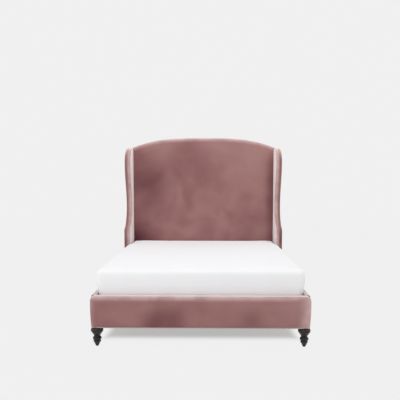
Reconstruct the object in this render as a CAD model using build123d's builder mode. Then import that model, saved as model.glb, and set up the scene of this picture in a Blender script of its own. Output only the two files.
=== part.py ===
from build123d import *
import math
import os

# Winged bed with an arched, padded headboard, a low padded foot and turned legs.
# Lengths are in millimetres and angles in degrees.
# X runs across the bed, Y from its foot to its head and Z up from the floor.
# The origin is on the floor, in the middle of the whole bed.

# Mattress and fitted sheet
mattress_width = 1500
mattress_length = 2000
mattress_height = 250
mattress_corner = 70
mattress_edge = 26
sheet_thickness = 2
sheet_tuck = 90
mattress_end_gap = 10

# Heights from the floor
leg_height = 140
rail_height = 234
slat_top = 296
headboard_height = 1661

# Arch of the headboard: a nearly flat middle and two falling shoulders
arch_middle_half = 300
arch_middle_radius = 8000
shoulder_drop = 100

# Layers of the headboard, from its padded face to its back
pad_roll = 26
pad_crown = 8
pad_crown_reach = 220
pad_back_layer = 10
pad_top_padding = 12
pad_below_slats = 10
face_board_thickness = 6
frame_depth = 40
back_cover_thickness = 5
back_cover_inset = 4

# Timber of the headboard frame
head_post_width = 42
arch_rail_end_height = 70
mid_rail_height = 70
mid_rail_middle = 885
bottom_rail_height = 120
bottom_rail_below_slats = 15

# Wings, measured ahead of the padded face and up from the floor
wing_mattress_gap = 9
wing_splay = 3
wing_thickness = 60
wing_padding_inner = 4
wing_padding_outer = 12
wing_padding_front = 12
wing_edge_radius = 17
arm_depth = 226
waist_depth = 82
ear_depth = 170
arm_round_radius = 56
arm_turn = 58
waist_high_radius = 550
ear_nose_radius = 560
ear_slope = 16

# Wing bolts, through each headboard post into its wing board
wing_bolt_radius = 4
wing_bolt_head_radius = 8.5
wing_bolt_head = 3
wing_bolt_bite = 25
wing_bolt_seat = 6
wing_bolt_height_shares = (0.17, 0.39, 0.65, 0.88)

# Foot
foot_padding = 12
foot_top_padding = 10
foot_end_padding = 12
foot_back_skin = 4
foot_board_thickness = 4
foot_corner_radius = 30
foot_edge_radius = 10
foot_tuck = 6
foot_tuck_height = 90
foot_post_width = 60
foot_top_rail_height = 45
foot_bottom_rail_height = 135

# Side rails
rail_mattress_gap = 12
rail_thickness = 28
rail_padding = 7
rail_top_padding = 8
rail_inner_skin = 3
rail_edge_radius = 12
rail_inner_radius = 2.5
ledger_width = 40
ledger_height = 35
ledger_screws_per_side = 5
screw_radius = 2.5
screw_head_radius = 5
screw_head = 3
screw_bite = 20

# Hook plates that drop into slotted catch plates
plate_thickness = 2.5
plate_width = 14
plate_height = 130
plate_middle = 245
hook_thickness = 3
hook_neck_height = 12
hook_lip = 8
hook_lip_depth = 3.5
hook_pitch = 70

# Slats and their straps
slat_count = 13
slat_width = 80
slat_thickness = 20
slat_side_gap = 8
slat_edge = 2
slat_end_gap = 30
strap_width = 25
strap_thickness = 1.5
strap_offset = 400

# Centre beam, its hangers, legs and levelling feet
beam_width = 60
beam_height = 70
hanger_thickness = 2.5
hanger_flange = 22
hanger_reach = 40
centre_leg_side = 45
centre_leg_offset = 500
levelling_pad_radius = 20
levelling_pad_height = 8
levelling_stud_radius = 5
levelling_stud_length = 52
levelling_travel = 14

# Turned legs, as radii and heights from the floor
leg_inset = 44
leg_setback = 46
rear_leg_inset = 31
rear_leg_setback = 27
glide_radius = 11
glide_height = 4
toe_radius = 13
toe_round = 3
ring_radius = 29
ring_low = 30
ring_high = 40
groove_radius = 24
bead_radius = 32
bead_low = 44
bead_high = 70
neck_radius = 23
neck_high = 78
flare_radius = 39
flare_high = 102
bun_radius = 45.5
bun_middle = 118
collar_radius = 39
collar_height = 6
leg_bolt_radius = 4
leg_bolt_length = 80
leg_plate_width = 48
leg_plate_depth = 32
leg_block_width = 56
leg_block_gap = 4

# Clearances, the overrun that every cut shares, and the sides of each screw's and bolt's head
hexagon_sides = 6
drill_gap = 0.25
soft_gap = 0.3
overrun = 5

# Places along the bed
pad_depth = pad_crown + pad_roll + pad_back_layer
head_depth = pad_depth + face_board_thickness + frame_depth + back_cover_thickness
foot_depth = foot_padding + foot_board_thickness + frame_depth + foot_back_skin
bed_length = foot_depth + mattress_length + 2 * mattress_end_gap + head_depth
foot_front = -bed_length / 2
foot_frame_front = foot_front + foot_padding + foot_board_thickness
foot_frame_back = foot_frame_front + frame_depth
foot_back = foot_front + foot_depth
mattress_front = foot_back + mattress_end_gap
mattress_middle = mattress_front + mattress_length / 2
pad_face = mattress_front + mattress_length + mattress_end_gap
pad_back = pad_face + pad_depth
head_frame_front = pad_back + face_board_thickness
head_frame_back = head_frame_front + frame_depth
head_back = head_frame_back + back_cover_thickness

# Places up the bed
rail_top = leg_height + rail_height
ledger_top = slat_top - slat_thickness
ledger_bottom = ledger_top - ledger_height
skin_bottom = ledger_top + rail_inner_skin
pad_bottom = slat_top - pad_below_slats
wing_height = headboard_height - shoulder_drop
foot_frame_top = rail_top - foot_top_padding
arch_rail_bottom = wing_height - pad_top_padding - arch_rail_end_height

# Places across the bed
wing_inner = mattress_width / 2 + wing_mattress_gap
foot_half = mattress_width / 2 + rail_mattress_gap + rail_inner_skin + rail_thickness + rail_padding
foot_post_outer = foot_half - foot_end_padding
foot_post_inner = foot_post_outer - foot_post_width
rail_core_outer = foot_half - rail_padding
rail_core_inner = rail_core_outer - rail_thickness
rail_skin_inner = rail_core_inner - rail_inner_skin
splay_sine = math.sin(math.radians(wing_splay))
splay_cosine = math.cos(math.radians(wing_splay))
splay_slope = splay_sine / splay_cosine
pad_half = wing_inner - splay_slope * pad_depth - soft_gap
wing_board_inset = wing_padding_inner / splay_cosine
frame_half = wing_inner + wing_board_inset - splay_slope * (head_frame_back - pad_face)
head_post_inner = frame_half - head_post_width
wing_outer_back = wing_inner + wing_thickness / splay_cosine - splay_slope * (head_frame_back - pad_face)
wing_core = wing_thickness - wing_padding_inner - wing_padding_outer

# The rails end where the front edge of each wing board begins
board_front = arm_depth - wing_padding_front
rail_end = pad_face - board_front * splay_cosine + wing_padding_inner * splay_sine
board_corner = wing_inner + board_front * splay_sine + wing_padding_inner * splay_cosine
rear_plate_middle = (board_corner + rail_core_outer) / 2
behind_board_front = Plane(
    origin=(board_corner, rail_end, 0),
    x_dir=(splay_cosine, splay_sine, 0),
    z_dir=(splay_sine, -splay_cosine, 0),
)
front_plate_middle = (rail_core_inner + foot_post_outer) / 2

# Shoulder arc of the arch, tangent to the middle arc and through the wing's corner
arch_sine = arch_middle_half / arch_middle_radius
arch_cosine = math.sqrt(1 - arch_sine**2)
arch_join_height = headboard_height - arch_middle_radius * (1 - arch_cosine)
shoulder_run = wing_inner - arch_middle_half
shoulder_fall = arch_join_height - wing_height
shoulder_radius = (shoulder_run**2 + shoulder_fall**2) / (
    2 * (shoulder_fall * arch_cosine - shoulder_run * arch_sine)
)
shoulder_centre_across = arch_middle_half - shoulder_radius * arch_sine
shoulder_centre_height = arch_join_height - shoulder_radius * arch_cosine

# Plane of the right wing's inner face: its X runs back, its Y up and its Z outwards
wing_plane = Plane(
    origin=(wing_inner, pad_face, 0),
    x_dir=(-splay_sine, splay_cosine, 0),
    z_dir=(splay_cosine, splay_sine, 0),
)


def block(low, high, mode=Mode.ADD):
    """A box between two opposite corners."""
    middle = tuple((a + b) / 2 for a, b in zip(low, high))
    sizes = [b - a for a, b in zip(low, high)]
    with Locations(middle):
        Box(*sizes, mode=mode)


def other_side(part):
    """The same piece on the other side of the bed."""
    with BuildPart() as copy:
        mirror(part, about=Plane.YZ)
    return copy.part


# Headboard


def arch_height(across, inset):
    """Height of the arch's edge at a place on its shoulder."""
    reach = shoulder_radius - inset
    return shoulder_centre_height + math.sqrt(reach**2 - (across - shoulder_centre_across) ** 2)


def panel_face(place, half, bottom, inset):
    """Upright panel under the arch, at a place along the bed."""
    join = (arch_middle_half - inset * arch_sine, arch_join_height - inset * arch_cosine)
    top = (0, headboard_height - inset)
    with BuildSketch(Plane.XZ.offset(-place)) as face:
        with BuildLine():
            crown = TangentArc(top, join, tangent=(1, 0))
            fall = TangentArc(crown @ 1, (half, arch_height(half, inset)), tangent=crown % 1)
            Polyline(fall @ 1, (half, bottom), (0, bottom))
            mirror(about=Plane.YZ)
        make_face()
    return face.sketch


def pad_section(inset, depth):
    """One outline of the padded face, drawn in from the full panel."""
    return panel_face(pad_face + depth, pad_half - inset, pad_bottom + inset, inset)


roll_angles = (0, 30, 60, 90)
crown_shares = (1 / 3, 2 / 3, 1)

with BuildPart() as headboard_pad:
    add(pad_section(0, pad_depth))
    for angle in roll_angles:
        draw_in = pad_roll * (1 - math.cos(math.radians(angle)))
        add(pad_section(draw_in, pad_crown + pad_roll * (1 - math.sin(math.radians(angle)))))
    for share in crown_shares:
        add(pad_section(pad_roll + pad_crown_reach * share, pad_crown * (1 - share) ** 2))
    loft(ruled=True)
    top_band = panel_face(head_frame_back, frame_half, arch_rail_bottom, 0)
    extrude(top_band, amount=head_frame_back - pad_back)
    band_room = panel_face(head_frame_back + overrun, foot_half, pad_bottom - overrun, pad_top_padding)
    extrude(band_room, amount=head_frame_back + overrun - pad_back, mode=Mode.SUBTRACT)

with BuildPart() as headboard_face_board:
    extrude(
        panel_face(head_frame_front, frame_half, pad_bottom, pad_top_padding),
        amount=face_board_thickness,
    )

with BuildPart() as headboard_arch_rail:
    extrude(
        panel_face(head_frame_back, frame_half, arch_rail_bottom, pad_top_padding),
        amount=frame_depth,
    )

with BuildPart() as headboard_mid_rail:
    block(
        (-head_post_inner, head_frame_front, mid_rail_middle - mid_rail_height / 2),
        (head_post_inner, head_frame_back, mid_rail_middle + mid_rail_height / 2),
    )

bottom_rail_top = slat_top - bottom_rail_below_slats

with BuildPart() as headboard_bottom_rail:
    block(
        (-head_post_inner, head_frame_front, bottom_rail_top - bottom_rail_height),
        (head_post_inner, head_frame_back, bottom_rail_top),
    )


def post_outer(place):
    """Where a headboard post meets its splayed wing board."""
    return wing_inner + wing_board_inset - splay_slope * (place - pad_face)


bolt_heights = [wing_height * share for share in wing_bolt_height_shares]
bolt_depth = (head_frame_front + head_frame_back) / 2 - pad_face
bolt_places = [(bolt_depth / splay_cosine, height) for height in bolt_heights]
post_inner_face = (head_post_inner - wing_inner) * splay_cosine + bolt_depth * splay_sine
bolt_seat = post_inner_face + wing_bolt_seat
bolt_end = wing_padding_inner + wing_bolt_bite

with BuildPart() as headboard_post_right:
    with BuildSketch(Plane.XY.offset(leg_height)):
        with BuildLine():
            Polyline(
                (head_post_inner, head_frame_front),
                (post_outer(head_frame_front), head_frame_front),
                (post_outer(head_frame_back), head_frame_back),
                (head_post_inner, head_frame_back),
                close=True,
            )
        make_face()
    extrude(amount=arch_rail_bottom - leg_height)
    with BuildSketch(wing_plane.offset(bolt_seat)):
        with Locations(bolt_places):
            Circle(wing_bolt_head_radius + drill_gap)
    extrude(amount=-head_post_width, mode=Mode.SUBTRACT)
    with BuildSketch(wing_plane.offset(bolt_seat)):
        with Locations(bolt_places):
            Circle(wing_bolt_radius + drill_gap)
    extrude(amount=head_post_width, mode=Mode.SUBTRACT)

headboard_post_left = other_side(headboard_post_right.part)

with BuildPart() as headboard_back_cover:
    extrude(
        panel_face(
            head_back,
            wing_outer_back - back_cover_inset,
            leg_height + back_cover_inset,
            back_cover_inset,
        ),
        amount=back_cover_thickness,
    )


# Wings


def wing_face(level, inset, back, bottom):
    """Side outline of a wing: straight arm, drawn-in waist, and an ear that rounds over."""
    arm_rise = math.sin(math.radians(arm_turn))
    arm_run = 1 - math.cos(math.radians(arm_turn))
    ear_rise = math.sin(math.radians(ear_slope))
    ear_run = 1 - math.cos(math.radians(ear_slope))
    waist_low_radius = (arm_depth - waist_depth) / arm_run - arm_round_radius
    slope_run = ear_depth - waist_depth - (waist_high_radius + ear_nose_radius) * ear_run
    slope_length = slope_run / ear_rise
    arm_top = (
        wing_height
        - ear_depth
        - (waist_high_radius + ear_nose_radius) * ear_rise
        - slope_length * math.cos(math.radians(ear_slope))
        - (waist_low_radius + arm_round_radius) * arm_rise
    )
    with BuildSketch(wing_plane.offset(level)) as face:
        with BuildLine():
            arm = Line((inset - arm_depth, bottom), (inset - arm_depth, arm_top))
            arm_round = JernArc(arm @ 1, arm % 1, arm_round_radius - inset, -arm_turn)
            waist_low = JernArc(arm_round @ 1, arm_round % 1, waist_low_radius + inset, arm_turn)
            waist_high = JernArc(waist_low @ 1, waist_low % 1, waist_high_radius + inset, ear_slope)
            slope = PolarLine(waist_high @ 1, slope_length, direction=waist_high % 1)
            ear_nose = JernArc(slope @ 1, slope % 1, ear_nose_radius - inset, -ear_slope)
            ear_top = JernArc(ear_nose @ 1, ear_nose % 1, ear_depth - inset, -90)
            Polyline(ear_top @ 1, (back, (ear_top @ 1).Y), (back, bottom), arm @ 0)
        make_face()
    return face.sketch


def board_edge(across):
    """Where the front edge of a wing board, or its line carried on, passes a place across."""
    return rail_end + (across - board_corner) * splay_slope


wing_back = 2 * head_depth
front_of_frame_back = Plane.XZ.offset(-head_frame_back)


def plate_pocket(middle, place, sign):
    """Room for a catch plate in a face at a place along the bed, and for the hooks behind it."""
    low = min(place - sign * plate_thickness, place + sign * plate_thickness)
    block(
        (middle - plate_width / 2, low, plate_middle - plate_height / 2),
        (middle + plate_width / 2, low + 2 * plate_thickness, plate_middle + plate_height / 2),
        mode=Mode.SUBTRACT,
    )
    room = plate_thickness + hook_lip_depth + 4 * soft_gap
    start = min(place, place + sign * room)
    for height in (plate_middle - hook_pitch / 2, plate_middle + hook_pitch / 2):
        block(
            (middle - hook_thickness, start, height - hook_lip - hook_thickness / 2),
            (middle + hook_thickness, start + room, height + hook_lip + hook_neck_height + hook_thickness / 2),
            mode=Mode.SUBTRACT,
        )


with BuildPart() as wing_board_right:
    extrude(
        wing_face(wing_padding_inner, wing_padding_front, wing_back, leg_height),
        amount=wing_core,
    )
    split(bisect_by=front_of_frame_back, keep=Keep.TOP)
    with BuildSketch(wing_plane.offset(bolt_end + drill_gap)):
        with Locations(bolt_places):
            Circle(wing_bolt_radius + drill_gap)
    extrude(amount=-bolt_end, mode=Mode.SUBTRACT)
    plate_pocket(rear_plate_middle, rail_end, 1)

wing_board_left = other_side(wing_board_right.part)

with BuildPart() as wing_cover_right:
    extrude(wing_face(0, 0, wing_back, leg_height), amount=wing_thickness)
    rim = edges().filter_by(lambda edge: abs(wing_plane.to_local_coords(edge.center()).Z) < overrun / 10)
    rim += edges().filter_by(
        lambda edge: abs(wing_plane.to_local_coords(edge.center()).Z - wing_thickness) < overrun / 10
    )
    rim = rim.filter_by(lambda edge: edge.center().Z > leg_height + overrun / 10)
    rim = rim.filter_by(lambda edge: edge.center().Y < pad_face + wing_back * splay_cosine - overrun)
    fillet(rim, wing_edge_radius)
    extrude(
        wing_face(wing_padding_inner, wing_padding_front, wing_back + overrun, leg_height - overrun),
        amount=wing_core,
        mode=Mode.SUBTRACT,
    )
    block(
        (frame_half - head_post_width, pad_back, leg_height - overrun),
        (frame_half + soft_gap, head_back + wing_back, wing_height + overrun),
        mode=Mode.SUBTRACT,
    )
    block(
        (frame_half, pad_back, leg_height - overrun),
        (frame_half + wing_core / 2, head_back + wing_back, wing_height - wing_padding_front),
        mode=Mode.SUBTRACT,
    )
    with BuildSketch(Plane.XY.offset(leg_height - overrun)):
        with BuildLine():
            Polyline(
                (frame_half - head_post_width, rail_end - wing_thickness),
                (foot_half + soft_gap, rail_end - wing_thickness),
                (foot_half + soft_gap, board_edge(foot_half + soft_gap)),
                (frame_half - head_post_width, board_edge(frame_half - head_post_width)),
                close=True,
            )
        make_face()
    extrude(amount=rail_height + overrun + soft_gap, mode=Mode.SUBTRACT)
    split(bisect_by=front_of_frame_back, keep=Keep.TOP)

wing_cover_left = other_side(wing_cover_right.part)

with BuildPart() as wing_bolts:
    with BuildSketch(wing_plane.offset(bolt_seat)):
        with Locations(bolt_places):
            RegularPolygon(wing_bolt_head_radius, hexagon_sides)
    extrude(amount=-wing_bolt_head)
    with BuildSketch(wing_plane.offset(bolt_seat)):
        with Locations(bolt_places):
            Circle(wing_bolt_radius)
    extrude(amount=bolt_end - bolt_seat)
    mirror(about=Plane.YZ)


# Foot

with BuildPart() as foot_cover:
    with BuildSketch(Plane.XZ.offset(-foot_frame_back)):
        with BuildLine():
            tuck = TangentArc(
                (foot_half, leg_height + foot_tuck_height),
                (foot_half - foot_tuck, leg_height),
                tangent=(0, -1),
            )
            side = Line(tuck @ 0, (foot_half, rail_top - foot_corner_radius))
            corner = JernArc(side @ 1, side % 1, foot_corner_radius, 90)
            Line(corner @ 1, (0, rail_top))
            Line(tuck @ 1, (0, leg_height))
            mirror(about=Plane.YZ)
        make_face()
    extrude(amount=foot_frame_back - foot_front)
    fillet(faces().sort_by(Axis.Y)[0].edges(), foot_edge_radius)
    block(
        (-foot_post_outer, foot_front + foot_padding, leg_height - overrun),
        (foot_post_outer, foot_back, foot_frame_top),
        mode=Mode.SUBTRACT,
    )
    block(
        (-rail_skin_inner + soft_gap, foot_frame_back, skin_bottom),
        (rail_skin_inner - soft_gap, foot_back, rail_top),
    )
    top_back = edges().filter_by(Axis.X).group_by(Axis.Z)[-1].sort_by(Axis.Y)[-1]
    fillet(top_back, foot_back_skin * 0.9)

with BuildPart() as foot_face_board:
    block(
        (-foot_post_outer, foot_front + foot_padding, leg_height),
        (foot_post_outer, foot_frame_front, foot_frame_top),
    )

with BuildPart() as foot_top_rail:
    block(
        (-foot_post_inner, foot_frame_front, foot_frame_top - foot_top_rail_height),
        (foot_post_inner, foot_frame_back, foot_frame_top),
    )

with BuildPart() as foot_bottom_rail:
    block(
        (-foot_post_inner, foot_frame_front, leg_height),
        (foot_post_inner, foot_frame_back, leg_height + foot_bottom_rail_height),
    )

# Each leg's axis, with the middle of the timber that it is bolted to

front_leg_across = foot_half - leg_inset
front_leg_along = foot_front + leg_setback
rear_leg_across = wing_inner - rear_leg_inset
rear_leg_along = pad_face + rear_leg_setback
front_timber = ((foot_post_inner + foot_post_outer) / 2, (foot_frame_front + foot_frame_back) / 2)
rear_timber = (pad_half - leg_block_width / 2, (pad_face + leg_block_gap + head_frame_front) / 2)


def leg_seat(across, along, timber):
    """Pocket for a leg plate under a timber, and the hole for the leg's bolt."""
    block(
        (timber[0] - leg_plate_width / 2, timber[1] - leg_plate_depth / 2, leg_height),
        (timber[0] + leg_plate_width / 2, timber[1] + leg_plate_depth / 2, leg_height + plate_thickness),
        mode=Mode.SUBTRACT,
    )
    with Locations((across, along, leg_height + leg_bolt_length / 2 + drill_gap)):
        Hole(leg_bolt_radius + drill_gap, depth=leg_bolt_length)


with BuildPart() as foot_corner_post_right:
    block(
        (foot_post_inner, foot_frame_front, leg_height),
        (foot_post_outer, foot_frame_back, foot_frame_top),
    )
    plate_pocket(front_plate_middle, foot_frame_back, -1)
    leg_seat(front_leg_across, front_leg_along, front_timber)

foot_corner_post_left = other_side(foot_corner_post_right.part)

with BuildPart() as leg_block_right:
    block(
        (pad_half - leg_block_width, pad_face + leg_block_gap, leg_height),
        (pad_half, head_frame_front, ledger_bottom),
    )
    leg_seat(rear_leg_across, rear_leg_along, rear_timber)

leg_block_left = other_side(leg_block_right.part)


# Side rails

screw_span = rail_end - foot_frame_back
screw_height = (ledger_bottom + ledger_top) / 2
screw_places = [
    (foot_frame_back + screw_span * (number + 0.5) / ledger_screws_per_side, screw_height)
    for number in range(ledger_screws_per_side)
]
ledger_inner = rail_core_inner - ledger_width

with BuildPart() as side_rail_right:
    block(
        (rail_core_inner, foot_frame_back, leg_height),
        (rail_core_outer, rail_end + overrun, rail_top - rail_top_padding),
    )
    split(bisect_by=behind_board_front, keep=Keep.TOP)
    for middle, face in (
        (front_plate_middle, foot_frame_back - plate_thickness),
        (rear_plate_middle, rail_end - plate_thickness),
    ):
        block(
            (middle - plate_width / 2, face, plate_middle - plate_height / 2),
            (middle + plate_width / 2, face + 2 * plate_thickness, plate_middle + plate_height / 2),
            mode=Mode.SUBTRACT,
        )
    with BuildSketch(Plane.YZ.offset(rail_core_inner)):
        with Locations(screw_places):
            Circle(screw_radius + drill_gap)
    extrude(amount=screw_bite + drill_gap, mode=Mode.SUBTRACT)

side_rail_left = other_side(side_rail_right.part)

with BuildPart() as side_rail_cover_right:
    with BuildSketch(Plane.XZ.offset(-rail_end - overrun)):
        with Locations(((rail_skin_inner + foot_half) / 2, (leg_height + rail_top) / 2)):
            Rectangle(foot_half - rail_skin_inner, rail_height)
        upper = vertices().group_by(Axis.Y)[-1]
        fillet(upper.sort_by(Axis.X)[-1], rail_edge_radius)
        fillet(vertices().group_by(Axis.Y)[-1].sort_by(Axis.X)[0], rail_inner_radius)
    extrude(amount=rail_end + overrun - foot_frame_back)
    split(bisect_by=behind_board_front, keep=Keep.TOP)
    block(
        (rail_core_inner, foot_frame_back - overrun, leg_height - overrun),
        (rail_core_outer, rail_end + overrun, rail_top - rail_top_padding),
        mode=Mode.SUBTRACT,
    )
    block(
        (rail_skin_inner - overrun, foot_frame_back - overrun, leg_height - overrun),
        (rail_core_inner, rail_end + overrun, skin_bottom),
        mode=Mode.SUBTRACT,
    )

side_rail_cover_left = other_side(side_rail_cover_right.part)

with BuildPart() as ledger_right:
    block(
        (ledger_inner, foot_frame_back, ledger_bottom),
        (rail_core_inner, head_frame_front, ledger_top),
    )
    block(
        (pad_half, rail_end, ledger_bottom - overrun),
        (rail_core_inner + overrun, head_frame_front + overrun, ledger_top + overrun),
        mode=Mode.SUBTRACT,
    )
    with BuildSketch(Plane.YZ.offset(ledger_inner)):
        with Locations(screw_places):
            Circle(screw_radius + drill_gap)
    extrude(amount=ledger_width, mode=Mode.SUBTRACT)

ledger_left = other_side(ledger_right.part)

with BuildPart() as ledger_screws:
    with BuildSketch(Plane.YZ.offset(ledger_inner)):
        with Locations(screw_places):
            Circle(screw_radius)
    extrude(amount=ledger_width + screw_bite)
    with BuildSketch(Plane.YZ.offset(ledger_inner)):
        with Locations(screw_places):
            RegularPolygon(screw_head_radius, hexagon_sides)
    extrude(amount=-screw_head)
    mirror(about=Plane.YZ)


def hook_plate(middle, place, sign):
    """Plate let into a rail's end, with two hooks that reach past the catch plate."""
    face = min(place, place - sign * plate_thickness)
    block(
        (middle - plate_width / 2, face, plate_middle - plate_height / 2),
        (middle + plate_width / 2, face + plate_thickness, plate_middle + plate_height / 2),
    )
    neck_end = place + sign * (plate_thickness + soft_gap)
    tip = neck_end + sign * hook_lip_depth
    for height in (plate_middle - hook_pitch / 2, plate_middle + hook_pitch / 2):
        with BuildSketch(Plane.YZ.offset(middle - hook_thickness / 2)) as hook:
            with BuildLine():
                Polyline(
                    (place, height),
                    (neck_end, height),
                    (neck_end, height - hook_lip),
                    (tip, height - hook_lip),
                    (tip, height + hook_neck_height - hook_lip_depth),
                    (neck_end, height + hook_neck_height),
                    (place, height + hook_neck_height),
                    close=True,
                )
            make_face()
        extrude(hook.sketch, amount=hook_thickness)


def catch_plate(middle, place, sign):
    """Plate let into the timber that a rail hangs on, slotted for the hooks."""
    face = min(place, place + sign * plate_thickness)
    block(
        (middle - plate_width / 2, face, plate_middle - plate_height / 2),
        (middle + plate_width / 2, face + plate_thickness, plate_middle + plate_height / 2),
    )
    for height in (plate_middle - hook_pitch / 2, plate_middle + hook_pitch / 2):
        block(
            (middle - hook_thickness / 2 - soft_gap, face - overrun, height),
            (
                middle + hook_thickness / 2 + soft_gap,
                face + plate_thickness + overrun,
                height + hook_lip + hook_neck_height + soft_gap,
            ),
            mode=Mode.SUBTRACT,
        )


with BuildPart() as rail_hook_plates:
    hook_plate(front_plate_middle, foot_frame_back, -1)
    hook_plate(rear_plate_middle, rail_end, 1)
    mirror(about=Plane.YZ)

with BuildPart() as rail_catch_plates:
    catch_plate(front_plate_middle, foot_frame_back, -1)
    catch_plate(rear_plate_middle, rail_end, 1)
    mirror(about=Plane.YZ)


# Slats, beam and centre legs

first_slat = foot_back + slat_end_gap + slat_width / 2
last_slat = pad_face - slat_end_gap - slat_width / 2
slat_pitch = (last_slat - first_slat) / (slat_count - 1)
beam_bottom = ledger_top - beam_height
beam_front = foot_frame_back + hanger_thickness
beam_back = head_frame_front - hanger_thickness
slat_length = 2 * (rail_core_inner - slat_side_gap)

slats = []
for number in range(slat_count):
    with BuildPart() as slat:
        with Locations((0, first_slat + number * slat_pitch, slat_top - slat_thickness / 2)):
            Box(slat_length, slat_width, slat_thickness)
        chamfer(edges().filter_by(Axis.X).group_by(Axis.Z)[-1], slat_edge)
    slats.append(slat.part)

with BuildPart() as slat_straps:
    for across in (-strap_offset, strap_offset):
        block(
            (across - strap_width / 2, first_slat - slat_width / 2, ledger_top - strap_thickness),
            (across + strap_width / 2, last_slat + slat_width / 2, ledger_top),
        )

with BuildPart() as centre_beam:
    block((-beam_width / 2, beam_front, beam_bottom), (beam_width / 2, beam_back, ledger_top))


def beam_hanger(face, sign):
    """Folded steel seat for one end of the beam, screwed to a face at a place along the bed."""
    half = beam_width / 2
    near = min(face, face + sign * hanger_thickness)
    start = min(face, face + sign * hanger_reach)
    block(
        (-half - hanger_flange, near, beam_bottom - hanger_thickness),
        (half + hanger_flange, near + hanger_thickness, ledger_top - hanger_thickness),
    )
    block(
        (-half - hanger_thickness, start, beam_bottom - hanger_thickness),
        (half + hanger_thickness, start + hanger_reach, beam_bottom),
    )
    for side in (-half - hanger_thickness, half):
        block(
            (side, start, beam_bottom - hanger_thickness),
            (side + hanger_thickness, start + hanger_reach, beam_bottom + beam_height / 2),
        )


with BuildPart() as beam_hangers:
    beam_hanger(foot_frame_back, 1)
    beam_hanger(head_frame_front, -1)

centre_leg_bottom = levelling_pad_height + levelling_travel + overrun / 2
stud_top = levelling_pad_height + levelling_stud_length


def centre_leg(along):
    """Square post under the beam, bored for its levelling foot."""
    half = centre_leg_side / 2
    with BuildPart() as leg:
        block((-half, along - half, centre_leg_bottom), (half, along + half, beam_bottom))
        chamfer(faces().sort_by(Axis.Z)[0].edges(), slat_edge)
        with Locations((0, along, stud_top + levelling_travel + soft_gap)):
            Hole(levelling_stud_radius + drill_gap, depth=stud_top)
    return leg.part


def levelling_foot(along):
    """Round pad on a threaded stud."""
    with BuildPart() as foot:
        with BuildSketch(Plane.XY):
            with Locations((0, along)):
                Circle(levelling_pad_radius)
        extrude(amount=levelling_pad_height)
        chamfer(faces().sort_by(Axis.Z)[-1].edges(), levelling_pad_height / 4)
        with BuildSketch(Plane.XY.offset(levelling_pad_height)):
            with Locations((0, along)):
                Circle(levelling_stud_radius)
        extrude(amount=levelling_stud_length)
    return foot.part


# Turned legs


def turned_leg(across, along):
    """Leg turned on its upright axis, bored from above for its bolt."""
    profile_plane = Plane(origin=(across, along, 0), x_dir=(1, 0, 0), z_dir=(0, -1, 0))
    ring_middle = (ring_low + ring_high) / 2
    bead_middle = (bead_low + bead_high) / 2
    with BuildPart() as leg:
        with BuildSketch(profile_plane):
            with BuildLine():
                Polyline(
                    (0, glide_height),
                    (toe_radius - toe_round, glide_height),
                    (toe_radius, glide_height + toe_round),
                    (groove_radius, ring_low),
                    (ring_radius, ring_middle),
                    (groove_radius, ring_high),
                    (groove_radius, bead_low),
                )
                ThreePointArc((groove_radius, bead_low), (bead_radius, bead_middle), (groove_radius, bead_high))
                Polyline((groove_radius, bead_high), (neck_radius, bead_high), (neck_radius, neck_high))
                Line((neck_radius, neck_high), (flare_radius, flare_high))
                ThreePointArc(
                    (flare_radius, flare_high),
                    (bun_radius, bun_middle),
                    (collar_radius, leg_height - collar_height),
                )
                Polyline(
                    (collar_radius, leg_height - collar_height),
                    (collar_radius, leg_height),
                    (0, leg_height),
                    (0, glide_height),
                )
            make_face()
        revolve(axis=Axis((across, along, 0), (0, 0, 1)))
        with Locations((across, along, leg_height)):
            Hole(leg_bolt_radius + drill_gap, depth=leg_bolt_length / 2 + drill_gap)
    return leg.part


leg_places = (
    (front_leg_across, front_leg_along, front_timber),
    (rear_leg_across, rear_leg_along, rear_timber),
)

with BuildPart() as leg_glides:
    for across, along, timber in leg_places:
        with BuildSketch(Plane.XY):
            with Locations((across, along)):
                Circle(glide_radius)
        extrude(amount=glide_height)
    mirror(about=Plane.YZ)

with BuildPart() as leg_bolts:
    for across, along, timber in leg_places:
        with BuildSketch(Plane.XY.offset(leg_height - leg_bolt_length / 2)):
            with Locations((across, along)):
                Circle(leg_bolt_radius)
        extrude(amount=leg_bolt_length)
    mirror(about=Plane.YZ)

with BuildPart() as leg_plates:
    for across, along, timber in leg_places:
        block(
            (timber[0] - leg_plate_width / 2, timber[1] - leg_plate_depth / 2, leg_height),
            (timber[0] + leg_plate_width / 2, timber[1] + leg_plate_depth / 2, leg_height + plate_thickness),
        )
    for across, along, timber in leg_places:
        with Locations((across, along, leg_height + plate_thickness)):
            Hole(leg_bolt_radius + drill_gap, depth=plate_thickness)
    mirror(about=Plane.YZ)


# Mattress and fitted sheet


def mattress_form(draw_in):
    """Rounded block of the mattress and sheet together, drawn in by a layer."""
    with BuildPart() as form:
        with BuildSketch(Plane.XY.offset(slat_top + draw_in)):
            with Locations((0, mattress_middle)):
                RectangleRounded(
                    mattress_width - 2 * draw_in,
                    mattress_length - 2 * draw_in,
                    mattress_corner - draw_in,
                )
        extrude(amount=mattress_height - 2 * draw_in)
        fillet(faces().sort_by(Axis.Z)[-1].edges(), mattress_edge - draw_in)
    return form.part


mattress = mattress_form(sheet_thickness)

with BuildPart() as fitted_sheet:
    add(mattress_form(0))
    add(mattress, mode=Mode.SUBTRACT)
    with BuildSketch(Plane.XY.offset(slat_top)):
        with Locations((0, mattress_middle)):
            RectangleRounded(
                mattress_width - 2 * sheet_tuck,
                mattress_length - 2 * sheet_tuck,
                mattress_corner,
            )
    extrude(amount=sheet_thickness, mode=Mode.SUBTRACT)


# Every piece under its own name

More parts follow.
